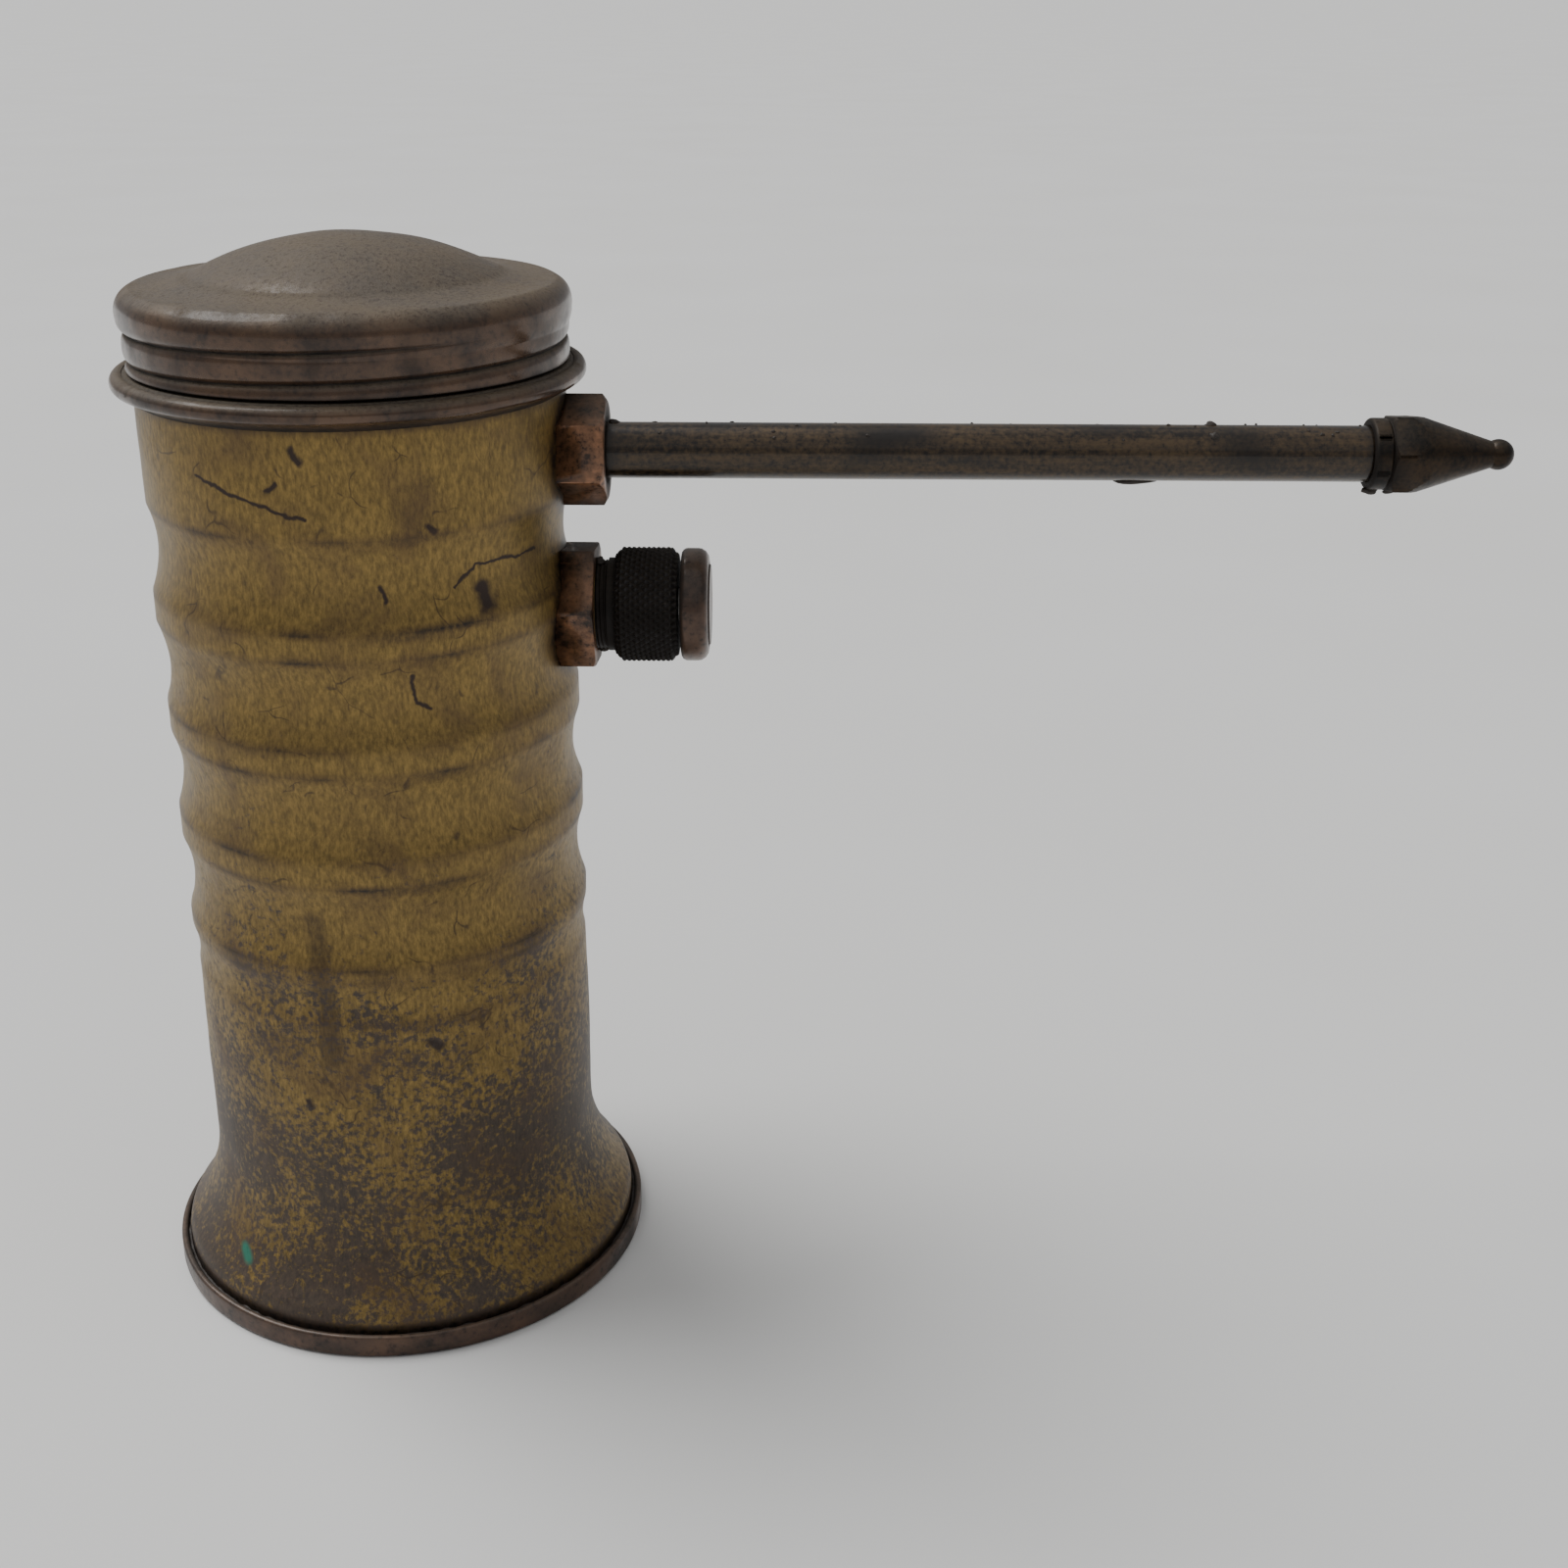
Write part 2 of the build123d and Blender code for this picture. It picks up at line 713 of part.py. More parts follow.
def suction_tube():
    """Straight tube from the inlet chest down to the strainer."""
    top = inlet_seat_z() - seat_web - seat_gap
    return upright_tube(pipe_radius, pipe_bore, suction_foot + suction_gap, top, valve_x)


def strainer():
    """Perforated cup on the suction tube's foot, standing just off the base."""
    top = suction_foot + strainer_length
    cup = upright(strainer_radius, suction_foot, top, valve_x)
    floor = suction_foot + strainer_wall
    cup -= upright(strainer_radius - strainer_wall, floor, top - strainer_lid, valve_x)
    cup -= upright(pipe_radius + seat_gap, floor, top + overrun, valve_x)
    middle = suction_foot + strainer_length / 2
    for row in range(strainer_rows):
        z = middle + (row - (strainer_rows - 1) / 2) * strainer_row_pitch
        for column in range(strainer_columns):
            turn = 360 / strainer_columns * (column + row / 2)
            drill = Pos(strainer_radius, 0, 0) * Rot(0, 90, 0) * Cylinder(strainer_hole, 2 * overrun)
            cup -= Pos(valve_x, 0, z) * Rot(0, 0, turn) * drill
    return cup


def build():
    """All the pieces by node name."""
    outer_form = reservoir_solid(0)
    inner_form = reservoir_solid(wall)
    nut_form = reservoir_solid(-wall_gap)
    seal_room = reservoir_solid(wall + wall_gap)
    crest_z = ledge_z + neck_thread_size + free_gap
    groove_z = crest_z - thread_pitch_offset
    return {
        "reservoir_shell": reservoir_shell(outer_form, inner_form),
        "base_pan": base_pan(),
        "neck_collar": neck_collar(crest_z),
        "filler_cap": filler_cap(groove_z, crest_z),
        "cap_gasket": cap_gasket(),
        "spout_nut": spout_nut(nut_form),
        "spout_neck": spout_neck(),
        "spout_seal": wall_seal(
            seal_radius, spout_neck_radius + running_gap, seal_thickness, spout_z, seal_room
        ),
        "spout_lock_nut": spout_lock_nut(),
        "spout_tube": spout_tube(),
        "nozzle_tip": nozzle_tip(),
        "pump_barrel": pump_barrel(),
        "barrel_nut": barrel_nut(nut_form),
        "barrel_seal": wall_seal(
            barrel_flange_radius, barrel_radius + running_gap, seal_thickness, pump_z, seal_room
        ),
        "barrel_end_plug": barrel_end_plug(),
        "rod_guide": rod_guide(),
        "packing_rings": packing_rings(),
        "gland_follower": gland_follower(),
        "gland_nut": gland_nut(),
        "plunger_rod": plunger_rod(),
        "plunger_button": plunger_button(),
        "piston_nut": piston_nut(),
        "piston_washers": piston_washers(),
        "piston_cup": piston_cup(),
        "return_spring": return_spring(),
        "inlet_valve_body": inlet_valve_body(),
        "inlet_ball": inlet_ball(),
        "ball_retaining_pin": ball_retaining_pin(),
        "outlet_valve_body": outlet_valve_body(),
        "outlet_ball": outlet_ball(),
        "outlet_spring": outlet_spring(),
        "delivery_pipe": delivery_pipe(),
        "suction_tube": suction_tube(),
        "strainer": strainer(),
    }


os.makedirs("parts", exist_ok=True)
for name, piece in build().items():
    export_step(piece, f"parts/{name}.step")
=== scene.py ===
import json
import math
import random

import bpy
from mathutils import Matrix, Vector, noise

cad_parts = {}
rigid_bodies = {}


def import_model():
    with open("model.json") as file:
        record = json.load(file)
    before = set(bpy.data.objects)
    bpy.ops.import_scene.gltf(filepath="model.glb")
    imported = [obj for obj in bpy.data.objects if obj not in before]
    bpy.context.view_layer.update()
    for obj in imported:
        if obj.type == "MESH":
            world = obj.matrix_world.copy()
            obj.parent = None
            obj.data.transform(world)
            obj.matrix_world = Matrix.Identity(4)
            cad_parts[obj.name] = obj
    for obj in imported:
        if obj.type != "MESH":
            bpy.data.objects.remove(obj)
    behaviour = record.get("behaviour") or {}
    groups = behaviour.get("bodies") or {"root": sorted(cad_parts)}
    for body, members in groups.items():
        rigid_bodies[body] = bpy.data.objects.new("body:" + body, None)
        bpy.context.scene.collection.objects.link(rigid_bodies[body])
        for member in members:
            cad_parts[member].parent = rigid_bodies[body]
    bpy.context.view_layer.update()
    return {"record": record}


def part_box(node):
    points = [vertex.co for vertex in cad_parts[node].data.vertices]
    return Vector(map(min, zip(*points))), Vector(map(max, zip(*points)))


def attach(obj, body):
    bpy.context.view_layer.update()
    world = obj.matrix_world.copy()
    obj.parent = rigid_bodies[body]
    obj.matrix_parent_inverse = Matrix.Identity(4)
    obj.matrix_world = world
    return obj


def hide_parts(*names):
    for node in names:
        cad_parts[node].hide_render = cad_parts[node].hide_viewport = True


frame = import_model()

# ------------------------------------------------------------------------------------------------
# Studio: a hand-held camera in front of the can, a little to its right and above it, over a pale
# vinyl sheet. One broad soft light hangs over the can's left shoulder, and a weaker and wider one
# over its front.
# ------------------------------------------------------------------------------------------------
MM = 0.001

CAMERA_PLACE = Vector((49.3, -219.6, 153.9)) * MM
CAMERA_TURN = 0.405
CAMERA_TILT = 68.22
CAMERA_ROLL = 0.214
LENS = 44.88
SENSOR = 36.0
SHIFT = (0.0051, -0.0195)
CLIP_START = 10 * MM
FLOOR_RADIUS = 40.0
FLOOR_DROP = 0.02 * MM
WEAVE_THREADS = 1.4          # to the millimetre
WEAVE_DEPTH = 0.05 * MM
CLOUD_SIZE = 100.0
ROOM_TONE = "D9DADC"
ROOM_LIGHT = 0.5


def linear(tone):
    """An sRGB hex colour as the opaque linear colour that a shader takes."""
    channels = [int(tone[place:place + 2], 16) / 255 for place in (0, 2, 4)]
    return (*[c / 12.92 if c <= 0.04045 else ((c + 0.055) / 1.055) ** 2.4 for c in channels], 1.0)


def add(tree, kind, sockets=(), **settings):
    """A new shader node. Sockets are given a value, or the node or output that feeds them."""
    fresh = tree.nodes.new("ShaderNode" + kind)
    for name, value in settings.items():
        setattr(fresh, name, value)
    for name, value in dict(sockets).items():
        if isinstance(value, bpy.types.Node):
            value = value.outputs[0]
        if isinstance(value, bpy.types.NodeSocket):
            tree.links.new(value, fresh.inputs[name])
        else:
            fresh.inputs[name].default_value = value
    return fresh


def blank_material(name):
    """A new material, its node tree, and its Object coordinates counted in millimetres, so that
    a pattern's scale is one over its size."""
    material = bpy.data.materials.new(name)
    material.use_nodes = True
    tree = material.node_tree
    tree.nodes.clear()
    metres = add(tree, "TexCoord").outputs["Object"]
    place = add(tree, "VectorMath", {0: metres, "Scale": 1 / MM}, operation="SCALE")
    return material, tree, place


def finish_material(tree, sockets):
    """The Principled shader with its sockets, joined to the material's output."""
    shader = add(tree, "BsdfPrincipled", sockets)
    add(tree, "OutputMaterial", {"Surface": shader})


def put_down_tools():
    """Object mode, with nothing selected."""
    if bpy.context.object and bpy.context.object.mode != "OBJECT":
        bpy.ops.object.mode_set(mode="OBJECT")
    bpy.ops.object.select_all(action="DESELECT")


def vinyl():
    """White vinyl sheet, embossed with a fine weave that is drawn coarser than it is, to show:
    matt, with a faint tooth to it."""
    material, tree, place = blank_material("embossed white vinyl")
    weave = add(tree, "TexNoise", {"Vector": place, "Scale": WEAVE_THREADS, "Detail": 2.0})
    cloud = add(tree, "TexNoise", {"Vector": place, "Scale": 1 / CLOUD_SIZE, "Detail": 2.0})
    tone = add(
        tree, "MixRGB", {"Fac": cloud, "Color1": linear("D6D5D2"), "Color2": linear("DDDDDC")}
    )
    bump = add(tree, "Bump", {"Height": weave, "Strength": 0.2, "Distance": WEAVE_DEPTH})
    finish_material(
        tree, {"Base Color": tone, "Roughness": 0.6, "Normal": bump, "Specular IOR Level": 0.3}
    )
    return material


put_down_tools()
bpy.ops.mesh.primitive_circle_add(
    vertices=96, radius=FLOOR_RADIUS, fill_type="TRIFAN", location=(0, 0, -FLOOR_DROP)
)
floor = bpy.context.object
floor.name = "vinyl_floor"
floor.data.materials.append(vinyl())

put_down_tools()
bpy.ops.object.camera_add()
camera = bpy.context.object
camera.data.lens = LENS
camera.data.sensor_width = SENSOR
camera.data.shift_x, camera.data.shift_y = SHIFT
camera.data.clip_start = CLIP_START
camera.data.clip_end = 2 * FLOOR_RADIUS
camera.matrix_world = (
    Matrix.Translation(CAMERA_PLACE)
    @ Matrix.Rotation(math.radians(CAMERA_TURN), 4, "Z")
    @ Matrix.Rotation(math.radians(CAMERA_TILT), 4, "X")
    @ Matrix.Rotation(math.radians(CAMERA_ROLL), 4, "Z")
)
bpy.context.scene.camera = camera


def soft_sun(name, direction, strength, spread):
    """A light from that direction, as soft as a window that spans the spread in degrees."""
    put_down_tools()
    bpy.ops.object.light_add(type="SUN", location=direction)
    lamp = bpy.context.object
    lamp.name = name
    lamp.data.energy = strength
    lamp.data.angle = math.radians(spread)
    lamp.rotation_euler = Vector(direction).to_track_quat("Z", "Y").to_euler()


soft_sun("window", (-0.55, 0.25, 0.95), 2.8, 40)
soft_sun("ceiling", (0.1, -0.3, 1.0), 0.5, 100)

world = bpy.data.worlds.new("room")
bpy.context.scene.world = world
world.use_nodes = True
world.node_tree.nodes.clear()
room = add(world.node_tree, "Background", {"Color": linear(ROOM_TONE), "Strength": ROOM_LIGHT})
add(world.node_tree, "OutputWorld", {"Surface": room})

# ------------------------------------------------------------------------------------------------
# Reservoir shell: one sheet of brass, spun to a tube with a flared foot. Four finger grooves are
# rolled into it by hand, and a fifth is worn almost flat. Handling has left it olive and brown.
# ------------------------------------------------------------------------------------------------
BODY_RADIUS = 23.8
LAND_RADIUS = 24.0
WALL = 0.7
BODY_TOP = 110.4
FOOT = 0.8
SKIRT_RADIUS = 28.65
FLARE_TOP = 18.0
FLARE_RADIUS = 20.7
FLARE_TURN = 37.2
FLARE_LIP_RADIUS = 3.2
ROLL_TOPS = (98.8, 85.5, 72.2, 58.9)
ROLL_HEIGHT = 10.2
ROLL_DEPTH = 0.95
WORN_TOP = 47.2
WORN_HEIGHT = 5.6
WORN_DEPTH = 0.35
SPOUT_HEIGHT = 103.3
PUMP_HEIGHT = 84.95
SPOUT_HOLE = 4.35
PUMP_HOLE = 5.0
DENT_SIZE = 14
DENT_DEPTH = 0.11
WANDER_SIZE = 4
WANDER_DEPTH = 0.035
TRUE_AT_TOP = 6              # the dents fade out over this height below the collar
TRUE_AT_FOOT = 8             # and over this height above the foot
RIM_GREASE_TOP = 3.2
NUT_SHADOWS = ((SPOUT_HEIGHT, 6.6), (PUMP_HEIGHT, 7.4))
SMOOTH_ANGLE = math.radians(40)
# Near black: the tone of grime, and of the painted shade in creases, under lips and in the nuts'
# shadows.
GRIME_AND_SHADE = "17110D"


def straight(start, end, spacing):
    """Points after start up to end, no further apart than spacing."""
    start, end = Vector(start), Vector(end)
    steps = max(1, math.ceil((end - start).length / spacing))
    return [tuple(start.lerp(end, step / steps)) for step in range(1, steps + 1)]


def bowed(start, end, depth, spacing):
    """Points after start up to end on a shallow bow that stands depth to the left of the chord."""
    start, end = Vector(start), Vector(end)
    chord = end - start
    left = Vector((-chord.y, chord.x)).normalized()
    steps = max(2, math.ceil(chord.length / spacing))
    points = []
    for step in range(1, steps + 1):
        share = step / steps
        points.append(tuple(start.lerp(end, share) + left * depth * 4 * share * (1 - share)))
    return points


def bend(start, heading, radius, turn, steps):
    """Points after start on an arc that leaves along heading and turns left by turn, in degrees."""
    side = math.copysign(1, turn)
    centre = Vector(start) + Vector((-math.sin(heading), math.cos(heading))) * radius * side
    points = []
    for step in range(1, steps + 1):
        angle = heading + math.radians(turn) * step / steps
        points.append(tuple(centre - Vector((-math.sin(angle), math.cos(angle))) * radius * side))
    return points


def turned(name, outline, sides):
    """A new piece spun about Z from an outline of (radius, height) points in millimetres."""
    put_down_tools()
    bpy.ops.mesh.primitive_plane_add(size=MM)
    piece = bpy.context.object
    piece.name = name
    bpy.ops.object.mode_set(mode="EDIT")
    bpy.ops.mesh.merge(type="CENTER")
    bpy.ops.transform.translate(value=(outline[0][0] * MM, 0, outline[0][1] * MM))
    for here, there in zip(outline, outline[1:]):
        step = ((there[0] - here[0]) * MM, 0, (there[1] - here[1]) * MM)
        bpy.ops.mesh.extrude_vertices_move(TRANSFORM_OT_translate={"value": step})
    bpy.ops.mesh.select_all(action="SELECT")
    bpy.ops.mesh.spin(steps=sides, angle=math.tau, center=(0, 0, 0), axis=(0, 0, 1))
    bpy.ops.mesh.select_all(action="SELECT")
    bpy.ops.mesh.remove_doubles(threshold=0.004 * MM)
    bpy.ops.mesh.delete_loose(use_verts=True, use_edges=True, use_faces=False)
    bpy.ops.mesh.select_all(action="SELECT")
    bpy.ops.mesh.normals_make_consistent(inside=False)
    bpy.ops.object.mode_set(mode="OBJECT")
    bpy.ops.object.shade_smooth_by_angle(angle=SMOOTH_ANGLE)
    return piece


def sheet_outline(outer, wall):
    """The closed outline of a sheet whose outer side is given: its inner side is set in by wall."""
    inner = []
    for number, here in enumerate(outer):
        before = Vector(outer[max(number - 1, 0)])
        after = Vector(outer[min(number + 1, len(outer) - 1)])
        along = (after - before).normalized()
        inset = Vector(here) + Vector((-along.y, along.x)) * wall
        inner.append((max(0.0, inset.x), inset.y))
    return outer + inner[::-1] + outer[:1]


def reshape(piece, radius_at):
    """Moves each vertex to the radius that radius_at(radius, angle, height) gives, in
    millimetres."""
    for vertex in piece.data.vertices:
        x, y, z = vertex.co / MM
        radius = math.hypot(x, y)
        if radius < 1e-6:
            continue
        share = radius_at(radius, math.atan2(y, x), z) / radius
        vertex.co.x *= share
        vertex.co.y *= share


def soil_and_shade(piece, amount_at):
    """Stores how much grime and painted shade lie at each vertex, 0 to 1, as
    amount_at(radius, angle, height) says."""
    layer = piece.data.attributes.new("soil_and_shade", "FLOAT", "POINT")
    for vertex, stored in zip(piece.data.vertices, layer.data):
        x, y, z = vertex.co / MM
        stored.value = min(1.0, max(0.0, amount_at(math.hypot(x, y), math.atan2(y, x), z)))


def line_of_grime_and_shade(distance, width):
    """Grime and painted shade that fade out from the middle of a line."""
    return math.exp(-(distance / width) ** 2)


def ripple(angle, height, size, seed):
    """Smooth noise of about -1 to 1 over the can's surface, with lumps of that size."""
    around = Vector((math.cos(angle), math.sin(angle), 0)) * BODY_RADIUS / size
    return 2 * noise.noise(around + Vector((seed, 7 * seed, height / size)))


def cut_away(piece, cutter):
    """Takes the cutter's shape out of the piece, and puts the cutter away."""
    cut = piece.modifiers.new("cut", "BOOLEAN")
    cut.operation = "DIFFERENCE"
    cut.solver = "EXACT"
    cut.object = cutter
    apply_all(piece)
    bpy.data.objects.remove(cutter)


def drill(piece, radius, height):
    """Cuts a round hole along X through the side that faces the spout."""
    put_down_tools()
    bpy.ops.mesh.primitive_cylinder_add(
        vertices=64,
        radius=radius * MM,
        depth=SKIRT_RADIUS * MM,
        location=(SKIRT_RADIUS * MM, 0, height * MM),
        rotation=(0, math.pi / 2, 0),
    )
    cut_away(piece, bpy.context.object)


def apply_all(piece):
    """Applies the piece's modifiers."""
    put_down_tools()
    bpy.context.view_layer.objects.active = piece
    piece.select_set(True)
    for modifier in list(piece.modifiers):
        bpy.ops.object.modifier_apply(modifier=modifier.name)


def shell_side(spacing):
    """The outside of the wall from the foot up to the top, as (radius, height)."""
    lip_start = bend((BODY_RADIUS, FLARE_TOP), -math.pi / 2, FLARE_RADIUS, FLARE_TURN, 26)
    heading = -math.pi / 2 + math.radians(FLARE_TURN)
    lip = bend(lip_start[-1], heading, FLARE_LIP_RADIUS, -FLARE_TURN, 8)
    going_down = [(BODY_RADIUS, FLARE_TOP)] + lip_start + lip
    skirt = lip[-1][0]
    side = [(skirt, FOOT)] + straight((skirt, FOOT), lip[-1], spacing) + going_down[::-1][1:]
    worn_bottom = WORN_TOP - WORN_HEIGHT
    side += straight(side[-1], (BODY_RADIUS, worn_bottom), spacing)
    side += bowed(side[-1], (LAND_RADIUS, WORN_TOP), WORN_DEPTH, spacing)
    for top in reversed(ROLL_TOPS):
        side += straight(side[-1], (LAND_RADIUS, top - ROLL_HEIGHT), spacing)
        crest = BODY_RADIUS if top == ROLL_TOPS[0] else LAND_RADIUS
        side += bowed(side[-1], (crest, top), ROLL_DEPTH, spacing)
    return side + straight(side[-1], (BODY_RADIUS, BODY_TOP), spacing)


def shell_radius(radius, angle, height):
    """Small dents and wandering of the hand-rolled wall."""
    below_top = max(0.0, (BODY_TOP - height) / TRUE_AT_TOP)
    above_foot = max(0.0, (height - FOOT) / TRUE_AT_FOOT)
    dents = DENT_DEPTH * ripple(angle, height, DENT_SIZE, 1)
    wander = WANDER_DEPTH * ripple(angle, height, WANDER_SIZE, 2)
    return radius + min(1.0, below_top, above_foot) * (dents + wander)


def shell_grime_and_shade(radius, angle, height):
    """Grime and painted shade in the creases, darker under the collar, grime in the rim of the base
    pan, and the painted shadows of the two nuts on the wall beside them.
    """
    patchy = 0.62 + 0.5 * ripple(angle, height, 6, 3)
    wander = 0.35 * ripple(angle, 0, 9, 4)
    amount = 0.0
    # The creases of the rolls and of the worn groove: grime with painted shade.
    for top in ROLL_TOPS:
        for edge in (top, top - ROLL_HEIGHT):
            amount += patchy * line_of_grime_and_shade(height - edge - wander, 0.55)
    for edge in (WORN_TOP, WORN_TOP - WORN_HEIGHT):
        amount += 0.8 * patchy * line_of_grime_and_shade(height - edge - wander, 0.7)
    amount += line_of_grime_and_shade(height - BODY_TOP - 0.4, 0.7)
    amount += line_of_grime_and_shade(min(0.0, RIM_GREASE_TOP - height), 0.6)
    # Painted shadows of the spout and barrel nuts on the wall beside them.
    for hole, reach in NUT_SHADOWS:
        if math.cos(angle) > 0:
            aside = math.hypot(height - hole, BODY_RADIUS * math.sin(angle))
            amount += line_of_grime_and_shade(max(0.0, aside - reach), 0.9)
    return amount


def near_stroke(tree, place, start, end, width):
    """How near a point lies to a line drawn on the shell's front, from 1 on it to 0 beside it.
    Its ends are (x, z) in millimetres."""
    start, end = Vector((start[0], 0, start[1])), Vector((end[0], 0, end[1]))
    along = end - start
    offset = add(tree, "VectorMath", {0: place, 1: start}, operation="SUBTRACT")
    share = add(
        tree, "VectorMath", {0: offset, 1: along / along.length_squared}, operation="DOT_PRODUCT"
    )
    share = add(tree, "Math", {0: share.outputs["Value"], 1: 0.0}, operation="ADD", use_clamp=True)
    nearest = add(tree, "VectorMath", {0: along, "Scale": share}, operation="SCALE")
    apart = add(tree, "VectorMath", {0: offset, 1: nearest}, operation="DISTANCE").outputs["Value"]
    return add(
        tree,
        "MapRange",
        {"Value": apart, "From Min": width * 0.4, "From Max": width, "To Min": 1.0, "To Max": 0.0},
    )


def knocks(tree, place, flecks):
    """The front's own scratches, knocks and one long run of dried oil, wavering as a hand does.
    Each stroke has its start and end as (x, z) and its width."""
    strokes = (
        ((-12.6, 104.9), (-7.2, 103.0), 0.3),
        ((-7.2, 103.0), (-1.0, 101.3), 0.3),
        ((-1.4, 108.6), (-0.8, 107.2), 0.55),
        ((-4.6, 104.2), (-3.6, 104.9), 0.45),
        ((16.0, 91.9), (16.7, 89.9), 1.1),
        ((13.4, 92.6), (15.6, 94.6), 0.25),
        ((15.6, 94.6), (20.8, 94.4), 0.25),
        ((11.5, 99.8), (12.1, 99.2), 0.6),
        ((6.2, 93.6), (6.7, 91.8), 0.35),
        ((8.6, 83.4), (8.8, 80.2), 0.3),
        ((8.8, 80.2), (10.2, 79.3), 0.3),
        ((8.4, 38.7), (9.0, 38.3), 0.9),
        ((-6.5, 31.3), (-6.5, 30.5), 0.6),
    )
    waver = add(tree, "TexNoise", {"Vector": place, "Scale": 1 / 2.2, "Detail": 3.0})
    waver = waver.outputs["Color"]
    waver = add(tree, "VectorMath", {0: waver, 1: (0.5, 0.5, 0.5)}, operation="SUBTRACT")
    flat = add(
        tree, "VectorMath", {0: waver, 1: (1.6, 1.6, 1.6), 2: place}, operation="MULTIPLY_ADD"
    )
    flat = add(tree, "VectorMath", {0: flat, 1: (1, 0, 1)}, operation="MULTIPLY")
    mark = 0.0
    for start, end, width in strokes:
        stroke = near_stroke(tree, flat, start, end, width)
        mark = add(tree, "Math", {0: mark, 1: stroke}, operation="MAXIMUM")
    run = near_stroke(tree, flat, (-4.0, 54.5), (-3.0, 37.0), 1.7)
    run = add(tree, "Math", {0: run, 1: flecks}, operation="MULTIPLY")
    mark = add(tree, "Math", {0: mark, 1: run}, operation="MAXIMUM")
    depth = add(tree, "SeparateXYZ", {0: place}).outputs["Y"]
    front = add(tree, "Math", {0: depth, 1: 0.0}, operation="LESS_THAN")
    return add(tree, "Math", {0: mark, 1: front}, operation="MULTIPLY")


def hair_scratches(tree, place):
    """Short curved scratches all over, where a can rattles about among tools."""
    warp = add(tree, "TexNoise", {"Vector": place, "Scale": 1 / 7, "Detail": 2.0})
    warp = warp.outputs["Color"]
    warped = add(
        tree, "VectorMath", {0: warp, 1: (9.0, 9.0, 9.0), 2: place}, operation="MULTIPLY_ADD"
    )
    cells = add(tree, "TexVoronoi", {"Vector": warped, "Scale": 1 / 7}, feature="DISTANCE_TO_EDGE")
    line = add(
        tree,
        "MapRange",
        {"Value": cells, "From Min": 0.006, "From Max": 0.02, "To Min": 1.0, "To Max": 0.0},
    )
    patches = add(tree, "TexNoise", {"Vector": place, "Scale": 1 / 3.5, "Detail": 2.0})
    here = add(tree, "MapRange", {"Value": patches, "From Min": 0.54, "From Max": 0.62})
    return add(tree, "Math", {0: line, 1: here}, operation="MULTIPLY")


